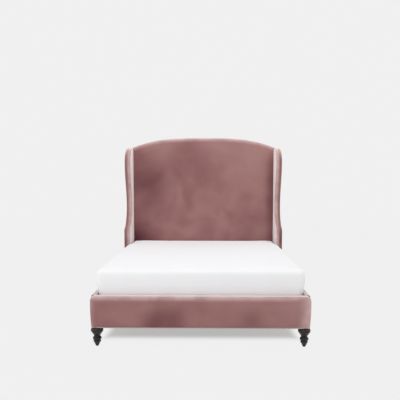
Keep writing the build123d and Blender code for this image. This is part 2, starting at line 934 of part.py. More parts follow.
pieces = {
    "headboard_pad": headboard_pad.part,
    "headboard_face_board": headboard_face_board.part,
    "headboard_arch_rail": headboard_arch_rail.part,
    "headboard_mid_rail": headboard_mid_rail.part,
    "headboard_bottom_rail": headboard_bottom_rail.part,
    "headboard_post_left": headboard_post_left,
    "headboard_post_right": headboard_post_right.part,
    "headboard_back_cover": headboard_back_cover.part,
    "wing_board_left": wing_board_left,
    "wing_board_right": wing_board_right.part,
    "wing_cover_left": wing_cover_left,
    "wing_cover_right": wing_cover_right.part,
    "wing_bolts": wing_bolts.part,
    "foot_cover": foot_cover.part,
    "foot_face_board": foot_face_board.part,
    "foot_top_rail": foot_top_rail.part,
    "foot_bottom_rail": foot_bottom_rail.part,
    "foot_corner_post_left": foot_corner_post_left,
    "foot_corner_post_right": foot_corner_post_right.part,
    "side_rail_left": side_rail_left,
    "side_rail_right": side_rail_right.part,
    "side_rail_cover_left": side_rail_cover_left,
    "side_rail_cover_right": side_rail_cover_right.part,
    "ledger_left": ledger_left,
    "ledger_right": ledger_right.part,
    "ledger_screws": ledger_screws.part,
    "rail_hook_plates": rail_hook_plates.part,
    "rail_catch_plates": rail_catch_plates.part,
    "slat_straps": slat_straps.part,
    "centre_beam": centre_beam.part,
    "beam_hangers": beam_hangers.part,
    "centre_leg_front": centre_leg(-centre_leg_offset),
    "centre_leg_rear": centre_leg(centre_leg_offset),
    "levelling_foot_front": levelling_foot(-centre_leg_offset),
    "levelling_foot_rear": levelling_foot(centre_leg_offset),
    "leg_block_left": leg_block_left,
    "leg_block_right": leg_block_right.part,
    "front_leg_left": turned_leg(-front_leg_across, front_leg_along),
    "front_leg_right": turned_leg(front_leg_across, front_leg_along),
    "rear_leg_left": turned_leg(-rear_leg_across, rear_leg_along),
    "rear_leg_right": turned_leg(rear_leg_across, rear_leg_along),
    "leg_glides": leg_glides.part,
    "leg_bolts": leg_bolts.part,
    "leg_plates": leg_plates.part,
    "mattress": mattress,
    "fitted_sheet": fitted_sheet.part,
}
for number, slat in enumerate(slats):
    pieces[f"slat_{number + 1:02d}"] = slat

os.makedirs("parts", exist_ok=True)
for name, piece in pieces.items():
    piece.label = name
    export_step(piece, f"parts/{name}.step")
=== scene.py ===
"""Dresses the winged bed: velvet over its pads, a fitted sheet on its mattress and finishes on its timber.

Lengths are in metres. X runs across the bed, Y from its foot to its head and Z up from the floor.
"""

import math

import bmesh
import bpy
import numpy as np
from bpy.props import FloatProperty, FloatVectorProperty, PointerProperty
from bpy.types import Operator, Panel, PropertyGroup
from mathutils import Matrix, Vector
from mathutils.kdtree import KDTree


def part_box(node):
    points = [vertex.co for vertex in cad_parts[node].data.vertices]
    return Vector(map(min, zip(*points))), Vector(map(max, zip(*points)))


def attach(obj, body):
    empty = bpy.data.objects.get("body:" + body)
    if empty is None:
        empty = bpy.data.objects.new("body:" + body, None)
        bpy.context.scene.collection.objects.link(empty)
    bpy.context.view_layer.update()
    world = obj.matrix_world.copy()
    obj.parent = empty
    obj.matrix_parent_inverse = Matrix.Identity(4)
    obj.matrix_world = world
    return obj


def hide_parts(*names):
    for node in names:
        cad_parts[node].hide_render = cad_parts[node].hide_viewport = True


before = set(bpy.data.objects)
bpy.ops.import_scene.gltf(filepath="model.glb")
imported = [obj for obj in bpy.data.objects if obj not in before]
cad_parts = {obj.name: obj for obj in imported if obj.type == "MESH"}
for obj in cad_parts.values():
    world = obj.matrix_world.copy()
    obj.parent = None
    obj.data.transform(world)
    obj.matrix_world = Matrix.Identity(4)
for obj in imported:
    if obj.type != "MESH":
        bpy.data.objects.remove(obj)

bl_info = {
    "name": "Winged Bed",
    "version": (1, 0, 0),
    "blender": (4, 5, 0),
    "location": "View3D > Sidebar > Bed",
    "description": "Dresses a winged bed in velvet, cotton and stained timber",
    "category": "Object",
}

BED = "frame"
MATTRESS = "mattress"
# Point attribute that holds each point's share of painted sheen along padded edges
PAINTED_EDGE_SHEEN = "painted_edge_sheen"
WELD = 0.00001

# Length after which a wave texture of scale 1 repeats
WAVE_PERIOD = math.pi / 10

# Camera, found by fitting the bed's corners to the photograph's 400 pixel frame
PHOTO_WIDTH = 400
FOCAL_PIXELS = 555.2
HORIZON_SHIFT_PIXELS = 24.5
SENSOR_WIDTH = 36.0
CAMERA_PLACE = (0.0614, -5.0195, 1.2093)
CAMERA_PITCH = 0.080
CAMERA_YAW = 0.0161

# Places taken from the frame
panel_low, panel_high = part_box("headboard_pad")
board_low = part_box("headboard_face_board")[0]
wing_low, wing_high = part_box("wing_cover_right")
cover_low, cover_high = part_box("headboard_back_cover")
foot_low, foot_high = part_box("foot_cover")
rail_low, rail_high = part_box("side_rail_cover_right")
sheet_low, sheet_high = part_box("fitted_sheet")
slat_low, slat_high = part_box("slat_01")

# Simulation of the covers, and the size of their faces before they are subdivided
CLOTH_FRAMES = 20
STIFFNESS = 12.0
PANEL_STEP = 0.020
WING_STEP = 0.016
FOOT_STEP = 0.018
RAIL_STEP = 0.020
BACK_STEP = 0.025
SHEET_STEP = 0.027
MATTRESS_STEP = 0.040
SEAM_STEP = 0.004

# Arch of the headboard: a nearly flat middle between two falling shoulders
ARCH_MIDDLE_HALF = 0.300
ARCH_MIDDLE_RADIUS = 8.000

# Headboard panel
PANEL_GAP = 0.0003
PANEL_ROLL = 0.026
PANEL_SIDE_ROLL = 0.009
PANEL_CROWN = 0.008
PANEL_CROWN_REACH = 0.220
PANEL_TOP_PADDING = 0.012
PANEL_REAR_DROP = 0.002
PANEL_TACKED = 0.004
# Reach of the painted sheen down from the arch
PANEL_SHEEN_REACH = 0.055

# Wings, measured ahead of the padded face and up from the floor
WING_INNER = 0.759
WING_SPLAY = math.radians(3)
WING_THICKNESS = 0.060
WING_ROLL = 0.017
WING_INNER_ROLL = (0.022, 0.030)
WING_SEAM = 0.35 * WING_ROLL
WING_FOLD = 0.010
WING_FOLD_BEHIND = 0.0005
WING_STRAIGHT_FROM = 0.044
WING_STRAIGHT_GAP = 0.0004
WING_TACKED = 0.001
# Painted sheen on the wing's inner face and inner roll
WING_SHEEN_REACH = (WING_INNER + 0.018, WING_INNER + 0.050)
ARM_DEPTH = 0.226
WAIST_DEPTH = 0.082
EAR_DEPTH = 0.170
ARM_ROUND_RADIUS = 0.056
ARM_TURN = math.radians(58)
WAIST_HIGH_RADIUS = 0.550
EAR_NOSE_RADIUS = 0.560
EAR_SLOPE = math.radians(16)
# Painted sheen near the top of the ear: its share and reach
EAR_SHEEN = 0.8
EAR_SHEEN_REACH = (0.01, 0.160)

# Foot and side rails
FOOT_CORNER_RADIUS = 0.033
FOOT_ROLL = (0.030, 0.014)
FOOT_CROWN = 0.008
FOOT_CROWN_REACH = 0.120
# Painted sheen along the foot's top and at its ends, stronger and wider at the right end
FOOT_SHEEN_REACH = 0.046
FOOT_END_SHEEN = (0.4, 1.0)
FOOT_END_SHEEN_REACH = (0.115, 0.050)
FOOT_HEM_ROLL = (0.028, 0.012)
FOOT_TUCK = 0.009
FOOT_TUCK_HEIGHT = 0.150
FOOT_SEAM = (0.006, -0.004)
RAIL_OUTER_RADIUS = 0.012
RAIL_INNER_RADIUS = 0.0025
RAIL_FOLD = 0.006
SKIN_GAP = 0.003

# Gathers along a seam: their narrow groove, and how many waves fit into a spacing and how strong they are
GROOVE_WIDTH = 0.004
GATHER_WAVES = (0.8, 1.0, 1.37, 1.9)
GATHER_STRENGTH = (0.6, 1.0)

# Darker and lighter patches of flattened pile; the darker ones along the headboard's sides and in its lower
# left corner are painted shade from the wings, and the lighter ones near the foot's ends are painted sheen.
# Each is across, up, radius and depth, which is above 0 for dark and under 0 for light
RIGHT_EDGE_SHADE_HEIGHTS = (0.60, 0.69, 0.78, 0.87, 0.96, 1.05, 1.14, 1.23, 1.32, 1.40)
PANEL_MARKS = (
    (-0.52, 1.16, 0.28, 0.58),
    (-0.60, 0.92, 0.26, 0.45),
    # Painted shade from the wings down the left side, in the lower left corner and down the right edge
    (-0.72, 1.15, 0.22, 0.45),
    (-0.74, 0.58, 0.28, 1.00),
    *((0.775, height, 0.135, 0.62) for height in RIGHT_EDGE_SHADE_HEIGHTS),
    (0.62, 0.66, 0.18, -0.30),
    (0.04, 0.70, 0.20, 0.30),
    (0.50, 1.50, 0.36, -0.50),
    (0.10, 1.62, 0.30, -0.45),
    (-0.45, 1.55, 0.26, -0.40),
)
WING_MARKS = ((0.8, 0.58, 0.12, 0.5), (-0.8, 0.56, 0.12, 0.5), (0.8, 1.0, 0.1, 0.2), (-0.8, 1.0, 0.12, 0.2))
FOOT_MARKS = (
    (-0.34, 0.19, 0.13, 0.42),
    (-0.20, 0.20, 0.16, 0.42),
    (0.18, 0.26, 0.16, 0.15),
    (0.37, 0.20, 0.15, 0.45),
    # Painted sheen near the foot's rounded ends
    (-0.55, 0.33, 0.26, -0.35),
    (0.66, 0.32, 0.24, -0.55),
)

# Back cover and its slip stitches
BACK_ROLL = 0.0045
BACK_CORNER = 0.013
STITCH_INSET = 0.0012
STITCH_SPACING = 0.009
STITCH_LENGTH = 0.006
THREAD_RADIUS = 0.0005

# Fixings
STAPLE_CROWN = 0.010
STAPLE_WIRE = 0.0005
STAPLE_PAIR = 0.036
STRAP_OFFSET = 0.400
THREAD_PITCH = 0.0015
THREAD_DEPTH = 0.00018
STUD_RADIUS = 0.00503
FOOT_PAD_HEIGHT = 0.008

# Mattress and sheet
MATTRESS_CORNER = 0.050
MATTRESS_EDGE = 0.030
SHEET_TUCK = 0.090
TUCK_ROUNDING = 0.4
SHEET_GAP = 0.0035
SHEET_PUFF = 0.004
LEAN_REACH = (-3.20, 0.35)
LEAN_TURN = 0.72 * math.pi
LEAN_BIAS = 0.12
LEAN_POWERS = (3, 6)
DOME_POWERS = (8, 12)
WING_RUN = 0.150
WING_GAP = 0.012

# Pulls that run in from each corner of the sheet, and the ranges that they are drawn from
CREASES = 5
CREASE_SPREAD = (-0.75, 0.75)
CREASE_REACH = (0.35, 0.95)
CREASE_WIDTH = (0.014, 0.034)
CREASE_STRENGTH = (0.4, 1.0)
CREASE_START = (-0.16, 0.05)
CREASE_FADE_FROM = 0.25
CREASE_FREE = (0.01, 0.06)
WALL_TILT = 0.6

# Floor, and the part of it under the bed that shows the bed's shadow, partly rendered and partly painted
# shade
FLOOR_RADIUS = 14.0
SHADOW_HALF = 0.68
SHADOW_FRONT = -0.83
SHADOW_FADE = 0.10
SHADOW_DEPTH = 0.80

# Lamps: place, the point that they face and size
TOP_SHARE = 1.22
LAMPS = {
    "key": ((-2.0, -4.4, 2.8), (0.0, 0.0, 0.6), 3.0),
    "top": ((0.3, -0.2, 4.0), (0.0, 0.0, 0.5), 3.4),
    "left": ((-3.6, -2.0, 1.3), (0.0, -0.7, 0.4), 2.0),
    "right": ((3.6, -2.0, 1.3), (0.0, -0.7, 0.4), 2.0),
}


# Settings that a user would change


def colour(name, description, default):
    """A colour setting, written as it looks."""
    return FloatVectorProperty(
        name=name, description=description, default=default, subtype="COLOR_GAMMA", size=3, min=0, max=1
    )


def length(name, description, default):
    """A length setting in metres."""
    return FloatProperty(name=name, description=description, default=default, unit="LENGTH", precision=4)


def strength(name, description, default, unit="POWER"):
    """A strength of light, in watts for a lamp."""
    return FloatProperty(name=name, description=description, default=default, unit=unit, min=0)


class BedVelvet(PropertyGroup):
    """Velvet and the padding under it"""

    middle: colour("Middle", "Velvet whose pile stands evenly", (0.610, 0.438, 0.430))
    # Light and dark also colour the marks, some of which are painted sheen and painted shade
    light: colour("Light", "Velvet brushed towards the light", (0.690, 0.540, 0.522))
    dark: colour("Dark", "Velvet brushed away from the light", (0.385, 0.212, 0.238))
    # Brushed is the colour of the painted sheen along padded edges
    brushed: colour("Brushed", "Velvet brushed pale over a padded edge", (0.830, 0.715, 0.705))
    # Pale is the colour of the painted sheen where the velvet turns away from the view
    pale: colour("Pale", "Velvet seen along its surface", (0.965, 0.925, 0.925))
    sheen: colour("Sheen", "Light caught by the tips of the pile", (1.000, 0.940, 0.940))
    thickness: length("Thickness", "Velvet and wadding together", 0.0026)
    panel_puff: length("Panel puff", "How far the headboard's velvet stands off its pad", 0.006)
    edge_puff: length("Edge puff", "How far the velvet stands off a narrow pad", 0.003)
    pucker: length("Pucker", "Depth of the gathers along a seam", 0.0022)


class BedLinen(PropertyGroup):
    """Fitted sheet and mattress"""

    sheet: colour("Sheet", "Washed cotton", (0.965, 0.965, 0.972))
    ticking: colour("Ticking", "Mattress cover", (0.900, 0.885, 0.850))
    ticking_stripe: colour("Ticking stripe", "Woven stripe of the mattress cover", (0.480, 0.540, 0.620))
    thickness: length("Thickness", "Sheet with its loft", 0.0014)
    crease: length("Crease", "Height of the pulls in the sheet", 0.0035)
    lean: length("Lean", "How far the sides stand out over the rails", 0.030)
    front_lean: length("Front lean", "How far the foot end stands out over the foot", 0.010)
    dome: length("Dome", "Rise of the top over its edges", 0.014)


class BedTimber(PropertyGroup):
    """Timber and metal"""

    leg: colour("Leg", "Nearly black stain", (0.085, 0.078, 0.075))
    # Red of the wood in the grain, and of the painted reflection of the velvet at the legs' tops
    leg_red_and_reflection: colour("Leg glow", "Red wood under the stain", (0.210, 0.085, 0.085))
    pine: colour("Pine", "Frame timber", (0.780, 0.630, 0.440))
    slat: colour("Slat", "Sanded pale pine", (0.830, 0.700, 0.510))
    birch: colour("Birch", "Raw birch plywood", (0.760, 0.630, 0.470))
    webbing: colour("Webbing", "Flat woven straps", (0.850, 0.840, 0.800))
    steel: colour("Steel", "Zinc plate", (0.660, 0.670, 0.680))


class BedStage(PropertyGroup):
    """Floor, light and camera"""

    background: colour("Background", "Paper behind and under the bed", (0.941, 0.941, 0.941))
    fill: strength("Fill", "Light from all sides", 0.63, "NONE")
    key: strength("Key", "Light from above and ahead", 40.0)
    side: strength("Side", "Light from each side", 13.0)


# Trees of nodes


def adjust(owner, **settings):
    """Sets several settings of one thing and gives it back."""
    for name, value in settings.items():
        setattr(owner, name, value)
    return owner


class Value:
    """An output of a node, which sums can be written with."""

    def __init__(self, tree, socket):
        self.tree, self.socket = tree, socket

    def __add__(self, other):
        return self.tree.maths("ADD", self, other)

    def __sub__(self, other):
        return self.tree.maths("SUBTRACT", self, other)

    def __mul__(self, other):
        return self.tree.maths("MULTIPLY", self, other)

    def __truediv__(self, other):
        return self.tree.maths("DIVIDE", self, other)


class Tree:
    """Nodes of a material, of the world or of a rule for shapes, put together one by one."""

    def __init__(self, tree):
        self.tree = tree
        tree.nodes.clear()

    def node(self, kind, sockets=None, output=0, **settings):
        """Adds a node and gives one of its outputs; a socket takes a number, a colour or such an output."""
        made = adjust(self.tree.nodes.new(kind), **settings)
        for name, value in (sockets or {}).items():
            if isinstance(value, Value):
                self.tree.links.new(value.socket, made.inputs[name])
            else:
                made.inputs[name].default_value = value
        return Value(self, made.outputs[output]) if made.outputs else None

    def maths(self, operation, first, *others):
        """Numbers put together one after another by Math nodes."""
        for other in others or (0.0,):
            first = self.node("ShaderNodeMath", {0: first, 1: other}, operation=operation)
        return first

    def axis(self, place, name):
        """One of a vector's three numbers."""
        return self.node("ShaderNodeSeparateXYZ", {0: place}, name)

    def seen(self):
        """1 for what the camera sees directly, mirrored or through a clear surface."""
        rays = ("Is Camera Ray", "Is Glossy Ray", "Is Transmission Ray")
        return self.maths("MAXIMUM", *(self.node("ShaderNodeLightPath", None, ray) for ray in rays))


def linear(tint):
    """A colour written as it looks, as the light values that a shader takes; an output stays as it is."""
    if isinstance(tint, Value):
        return tint
    values = [c / 12.92 if c <= 0.04045 else ((c + 0.055) / 1.055) ** 2.4 for c in tint]
    return (*values, 1.0)


def darker(tint, share):
    """A colour with a share of its light."""
    return [share * c for c in tint]


# Surfaces


class Finish(Tree):
    """A procedural material."""

    def __init__(self, name):
        self.material = bpy.data.materials.new(name)
        self.material.use_nodes = True
        super().__init__(self.material.node_tree)
        self.place = self.node("ShaderNodeTexCoord", None, "Object")

    def noise(self, scale, detail=2.0, distortion=0.0, stretch=None):
        """Cloudy pattern between 0 and 1, stretched along each axis."""
        place = self.place
        if stretch:
            place = self.node("ShaderNodeMapping", {"Vector": place, "Scale": stretch})
        sockets = {"Vector": place, "Scale": scale, "Detail": detail, "Distortion": distortion}
        return self.node("ShaderNodeTexNoise", sockets)

    def wave(self, axis, scale, distortion=0.0, detail=2.0):
        """Bands across one axis, between 0 and 1."""
        sockets = {"Vector": self.place, "Scale": scale, "Distortion": distortion, "Detail": detail}
        return self.node("ShaderNodeTexWave", sockets, 1, bands_direction=axis)

    def ramp(self, value, low, high, start=0.0, end=1.0):
        """Smooth step from start to end as a value goes from low to high."""
        sockets = {"Value": value, "From Min": low, "From Max": high, "To Min": start, "To Max": end}
        return self.node("ShaderNodeMapRange", sockets, interpolation_type="SMOOTHSTEP")

    def mix(self, first, second, share, *steps):
        """One colour going over to another by a share, or by a ramp of it with these steps."""
        if steps:
            share = self.ramp(share, *steps)
        sockets = {0: share, 6: linear(first), 7: linear(second)}
        return self.node("ShaderNodeMix", sockets, 2, data_type="RGBA")

    def bump(self, height, distance, strength, **under):
        """Normal of a surface with a fine relief, on top of another normal if one is given."""
        sockets = {"Height": height, "Distance": distance, "Strength": strength, **under}
        return self.node("ShaderNodeBump", sockets)

    def close(self, shader):
        """Ends the material in a shader."""
        self.node("ShaderNodeOutputMaterial", {"Surface": shader})
        return self.material

    def surface(self, tint, roughness, normal, more=None):
        """Ends the material in one glossy or matt surface."""
        sockets = {"Base Color": tint, "Roughness": roughness, "Normal": normal, **(more or {})}
        return self.close(self.node("ShaderNodeBsdfPrincipled", sockets))


def velvet(name, cover, marks=(), painted_sheen_from=(0.22, 0.90), painted_sheen_most=0.62, sheen=0.55):
    """Cotton velvet with brushed clouds; a mark is a darker or lighter patch, some of flattened pile, some
    painted shade and some painted sheen. Painted sheen also pales the colour along padded edges and where the
    surface turns away from the view.
    """
    finish = Finish(name)
    clouds, brushed = finish.noise(2.4, distortion=0.4), finish.noise(6.5, distortion=0.3)
    tint = finish.mix(cover.dark, cover.light, clouds + brushed * 0.25, 0.40, 0.86)
    tint = finish.mix(tint, cover.middle, 0.66)
    flat = finish.node("ShaderNodeVectorMath", {0: finish.place, 1: (1.0, 0.0, 1.0)}, operation="MULTIPLY")
    # Darker and lighter marks, some of them painted shade and painted sheen
    for across, up, radius, depth in marks:
        middle = (across, 0.0, up)
        away = finish.node("ShaderNodeVectorMath", {0: flat, 1: middle}, "Value", operation="DISTANCE")
        blurred = away + clouds * (0.25 * radius)
        target = cover.dark if depth > 0 else cover.light
        tint = finish.mix(tint, target, blurred, 0.1 * radius, 1.2 * radius, abs(depth), 0.0)
    # Painted sheen along padded edges, by each point's share, broken up by the brushed clouds
    edge = finish.node("ShaderNodeAttribute", None, "Fac", attribute_name=PAINTED_EDGE_SHEEN)
    tint = finish.mix(tint, cover.brushed, edge * finish.ramp(brushed, 0.3, 0.7, 0.55, 1.0))
    pile = finish.noise(1400.0)
    tint = finish.mix(tint, cover.dark, pile, 0.3, 0.7, 0.0, 0.10)
    # Painted sheen: the colour goes over to pale where the surface turns away from the view
    turned = finish.node("ShaderNodeLayerWeight", {"Blend": 0.5}, "Facing")
    tint = finish.mix(tint, cover.pale, turned, *painted_sheen_from, 0.0, painted_sheen_most)
    normal = finish.bump(pile, 0.0006, 0.35, Normal=finish.bump(brushed, 0.002, 0.2))
    tips = {"Sheen Weight": sheen, "Sheen Roughness": 0.32, "Sheen Tint": linear(cover.sheen)}
    return finish.surface(tint, 0.9, normal, {"Specular IOR Level": 0.15, **tips})


def woven(name, tint, thread, second=None, stripe=0.0):
    """Plain woven cloth, with an optional stripe along the bed."""
    finish = Finish(name)
    weave = finish.maths("MAXIMUM", *(finish.wave(axis, WAVE_PERIOD / thread, 0.6, 1.0) for axis in "XY"))
    base = finish.mix(tint, darker(tint, 0.9), finish.noise(5.0, 3.0), 0.3, 0.7, 0.0, 0.05)
    if second is not None:
        base = finish.mix(base, second, finish.wave("X", WAVE_PERIOD / stripe), 0.86, 0.92)
    loft = {"Specular IOR Level": 0.2, "Sheen Weight": 0.15, "Sheen Roughness": 0.5}
    return finish.surface(base, 0.92, finish.bump(weave, 0.0002, 0.5), loft)


def timber(name, tint, along, gloss=0.55, contrast=0.25):
    """Sawn or planed wood, with its grain along one axis."""
    finish = Finish(name)
    stretch = [2.0 if axis == along else 40.0 for axis in "XYZ"]
    grain, fine = finish.noise(1.0, 4.0, 1.2, stretch), finish.noise(6.0, stretch=stretch)
    dark = darker(tint, 1 - contrast)
    base = finish.mix(dark, tint, grain, 0.35, 0.68)
    base = finish.mix(base, dark, fine, 0.45, 0.75, 0.0, 0.3)
    roughness = finish.ramp(grain, 0.3, 0.7, gloss + 0.08, gloss - 0.05)
    return finish.surface(base, roughness, finish.bump(fine, 0.0004, 0.4), {"Specular IOR Level": 0.4})


def laminated(name, tint):
    """Plywood: veneer on its faces and plies along its edges."""
    finish = Finish(name)
    grain = finish.noise(1.0, 4.0, 0.8, (30.0, 30.0, 3.0))
    dark = darker(tint, 0.8)
    base = finish.mix(dark, tint, grain, 0.35, 0.7)
    base = finish.mix(base, dark, finish.wave("Y", 62.0, 0.4), 0.75, 0.95, 0.0, 0.35)
    return finish.surface(base, 0.7, finish.bump(grain, 0.0003, 0.3))


def stained(name, tint, under):
    """Turned leg: dark stain over red wood, with a painted red reflection of the velvet towards its top,
    under satin varnish.
    """
    finish = Finish(name)
    grain = finish.noise(1.0, 4.0, 1.0, (90.0, 90.0, 9.0))
    # Painted reflection of the velvet: red towards the top of the leg, broken up by the grain
    top_reflection = finish.ramp(finish.axis(finish.place, "Z"), 0.088, 0.132, 0.0, 0.75)
    base = finish.mix(tint, under, grain, 0.4, 0.75, 0.0, 0.3)
    base = finish.mix(base, under, top_reflection * finish.ramp(grain, 0.3, 0.7, 0.5, 1.0))
    roughness = finish.ramp(grain, 0.3, 0.7, 0.42, 0.34)
    varnish = {"Specular IOR Level": 0.3, "Coat Weight": 0.1, "Coat Roughness": 0.25}
    return finish.surface(base, roughness, finish.bump(grain, 0.0004, 0.3), varnish)


def plated(name, tint):
    """Zinc plated steel."""
    finish = Finish(name)
    spangle = finish.noise(140.0, 3.0)
    base = finish.mix(tint, darker(tint, 0.8), spangle, 0.35, 0.7, 0.0, 0.5)
    roughness = finish.ramp(spangle, 0.3, 0.7, 0.34, 0.5)
    return finish.surface(base, roughness, finish.bump(spangle, 0.0001, 0.3), {"Metallic": 1.0})


def fine_grained(name, tint, cloud_scale, dark, depth, roughness, relief):
    """Sewing thread or moulded plastic, with a fine texture."""
    finish = Finish(name)
    base = finish.mix(tint, darker(tint, dark), finish.noise(cloud_scale), 0.3, 0.7, 0.0, depth)
    return finish.surface(base, roughness, finish.bump(finish.noise(900.0), 0.0002, relief))


# Grids of points


def at(across, along, up):
    """Points from three numbers, rows or grids of numbers."""
    return np.stack(np.broadcast_arrays(across, along, up), axis=-1)


def blend(share, first, second):
    """Values on the way from one to another."""
    return (1 - share) * first + share * second


def eased(values, low, high):
    """Smooth step from 0 to 1 as values go from low to high."""
    share = np.clip((values - low) / (high - low), 0, 1)
    return share * share * (3 - 2 * share)


def quarter(wide, deep, count):
    """Inset and drop at places round a quarter roll, from its face to its side."""
    turn = np.linspace(0, math.pi / 2, count)
    return np.column_stack((wide * (1 - np.sin(turn)), deep * (1 - np.cos(turn))))


def rounded(distance, wide, deep=None):
    """How far a surface has fallen back at a distance from its edge, for a roll of some width and depth."""
    share = np.clip(1 - distance / wide, 0, 1)
    return (deep or wide) * (1 - np.sqrt(1 - share**2))


def rolled_steps(total, roll, step, turns=6):
    """Distances across a pad, closer together where both its edges roll over."""
    edge = quarter(roll, roll, turns)[:-1, 1]
    middle = np.linspace(roll, total - roll, max(2, round((total - 2 * roll) / step)))
    return np.concatenate((edge, middle, total - edge[::-1]))


def trace(start, heading, parts, step):
    """Points and headings along parts of an outline, and the number of each part's last point.

    A part is made of straight runs (length, 0) and arcs (radius, turn to the left).
    """
    points, headings, ends = [np.array(start, float)], [heading], []
    for part in parts:
        for size, turn in part:
            run = size * abs(turn) if turn else size
            count = max(2, math.ceil(run / step))
            origin = points[-1]
            for share in np.arange(1, count + 1) / count:
                bent = share * turn
                chord = share * run * np.sinc(bent / (2 * math.pi))
                middle = heading + bent / 2
                points.append(origin + (chord * math.cos(middle), chord * math.sin(middle)))
                headings.append(heading + bent)
            heading += turn
        ends.append(len(points) - 1)
    return np.array(points), np.array(headings), ends


def inset_by(points, heads, inset):
    """An outline drawn in towards its right-hand side."""
    return points + inset * np.stack((np.sin(heads), -np.cos(heads)), axis=-1)


def coons(left, right, bottom, top):
    """Grid of points between four edges that share their corners; rows go up and columns across."""
    up = np.linspace(0, 1, len(left))[:, None, None]
    across = np.linspace(0, 1, len(bottom))[:, None]
    sides = blend(across, left[:, None], right[:, None])
    corners = blend(up, blend(across, bottom[0], bottom[-1]), blend(across, top[0], top[-1]))
    return sides + blend(up, bottom, top) - corners


# Pieces


def add_object(name, data):
    """A new object in the scene."""
    made = bpy.data.objects.new(name, data)
    bpy.context.scene.collection.objects.link(made)
    return made


def add_piece(name, shape):
    """A new piece that holds the shape."""
    mesh = bpy.data.meshes.new(name)
    shape.to_mesh(mesh)
    shape.free()
    return add_object(name, mesh)


def build(name, patches):
    """One mesh of several grids of points, welded where their edges meet, with its faces outwards."""
    shape = bmesh.new()
    for patch in patches:
        rows = [[shape.verts.new(point) for point in row] for row in patch]
        for lower, upper in zip(rows, rows[1:]):
            for corners in zip(lower, lower[1:], upper[1:], upper):
                shape.faces.new(corners)
    bmesh.ops.remove_doubles(shape, verts=shape.verts, dist=WELD)
    bmesh.ops.recalc_face_normals(shape, faces=shape.faces)
    return add_piece(name, shape)


def read(values, name):
    """Three numbers of each point, as rows."""
    found = np.empty(3 * len(values))
    values.foreach_get(name, found)
    return found.reshape(-1, 3)


def places(piece):
    """Every point of a piece."""
    return read(piece.data.vertices, "co")


def normals(piece):
    """The outward direction at every point of a piece."""
    return read(piece.data.vertex_normals, "vector")


def put_back(piece, points):
    """Moves every point of a piece."""
    piece.data.vertices.foreach_set("co", points.ravel())
    piece.data.update()


def boundary(piece):
    """Which points lie on an open edge of a piece."""
    shape = bmesh.new()
    shape.from_mesh(piece.data)
    found = np.array([vertex.is_boundary for vertex in shape.verts])
    shape.free()
    return found


def outwards(piece):
    """Turns the faces of a piece outwards."""
    shape = bmesh.new()
    shape.from_mesh(piece.data)
    bmesh.ops.recalc_face_normals(shape, faces=shape.faces)
    shape.to_mesh(piece.data)
    shape.free()


def evaluated(piece):
    """A piece with its modifiers, as Blender shows it."""
    return piece.evaluated_get(bpy.context.evaluated_depsgraph_get())


def settle(piece):
    """Makes the piece's modifiers part of its mesh."""
    mesh, old = bpy.data.meshes.new_from_object(evaluated(piece)), piece.data
    piece.modifiers.clear()
    piece.data = mesh
    mesh.name = old.name
    bpy.data.meshes.remove(old)


def modify(piece, kind, **settings):
    """Makes one modifier part of a piece's mesh."""
    adjust(piece.modifiers.new(kind.lower(), kind), **settings)
    settle(piece)


def refine(piece):
    """Subdivides a cover once."""
    modify(piece, "SUBSURF", levels=1, render_levels=1, boundary_smooth="PRESERVE_CORNERS")


def thicken(piece, thickness):
    """Gives a skin its thickness inwards."""
    modify(piece, "SOLIDIFY", thickness=thickness, offset=-1, use_even_offset=True)


def simulate(piece, tacked, most, pressure):
    """Blows a cover up from the inside while its tacked points stay; it goes out by a distance at most."""
    start, outward = places(piece), normals(piece)
    group = piece.vertex_groups.new(name="tacked")
    group.add([int(n) for n in np.flatnonzero(tacked)], 1.0, "REPLACE")
    cloth = piece.modifiers.new("cloth", "CLOTH")
    adjust(
        cloth.settings,
        quality=6,
        mass=0.3,
        tension_stiffness=STIFFNESS,
        compression_stiffness=STIFFNESS,
        shear_stiffness=STIFFNESS / 2,
        bending_stiffness=0.4,
        vertex_group_mass=group.name,
        use_pressure=True,
        uniform_pressure_force=pressure,
    )
    cloth.settings.effector_weights.gravity = 0
    adjust(cloth.collision_settings, use_collision=False, use_self_collision=False)
    adjust(cloth.point_cache, frame_start=1, frame_end=CLOTH_FRAMES)
    for number in range(1, CLOTH_FRAMES + 1):
        bpy.context.scene.frame_set(number)
    moved = places(evaluated(piece)) - start
    piece.modifiers.clear()
    piece.vertex_groups.clear()
    bpy.context.scene.frame_set(1)
    moved -= outward * np.minimum((moved * outward).sum(axis=1, keepdims=True), 0)
    far = np.linalg.norm(moved, axis=1, keepdims=True)
    put_back(piece, start + moved * most * np.tanh(far / most) / np.maximum(far, WELD))


def puff(piece, tacked, most, pressure=4.0):
    """Makes a cover soft, with its tacked points as they are."""
    simulate(piece, tacked, most, pressure)
    refine(piece)


def ripple(along, spacing, seed):
    """Uneven waves along a seam, between 0 and 1."""
    draw = np.random.default_rng(seed)
    total = np.zeros_like(along)
    for share in GATHER_WAVES:
        phase, depth = draw.uniform(0, 2 * math.pi), draw.uniform(*GATHER_STRENGTH)
        total += depth * np.sin(2 * math.pi * share * along / spacing + phase)
    return np.clip(0.5 + 0.3 * total, 0, 1)


def gather(piece, seam, depth, seed, spacing, fade, groove=0.0):
    """Draws a cover in along a seam: a narrow groove with gathers that fade out beside it."""
    tree = KDTree(len(seam))
    for number, point in enumerate(seam):
        tree.insert(point, number)
    tree.balance()
    run = np.concatenate(([0], np.cumsum(np.linalg.norm(np.diff(seam, axis=0), axis=1))))
    points, outward = places(piece), normals(piece)
    found = [tree.find(point) for point in points]
    away = np.array([hit[2] for hit in found])
    wave = ripple(run[[hit[1] for hit in found]], spacing, seed)
    drawn = depth * wave * np.exp(-((away / fade) ** 2)) + groove * np.exp(-((away / GROOVE_WIDTH) ** 2))
    put_back(piece, points - outward * drawn[:, None])


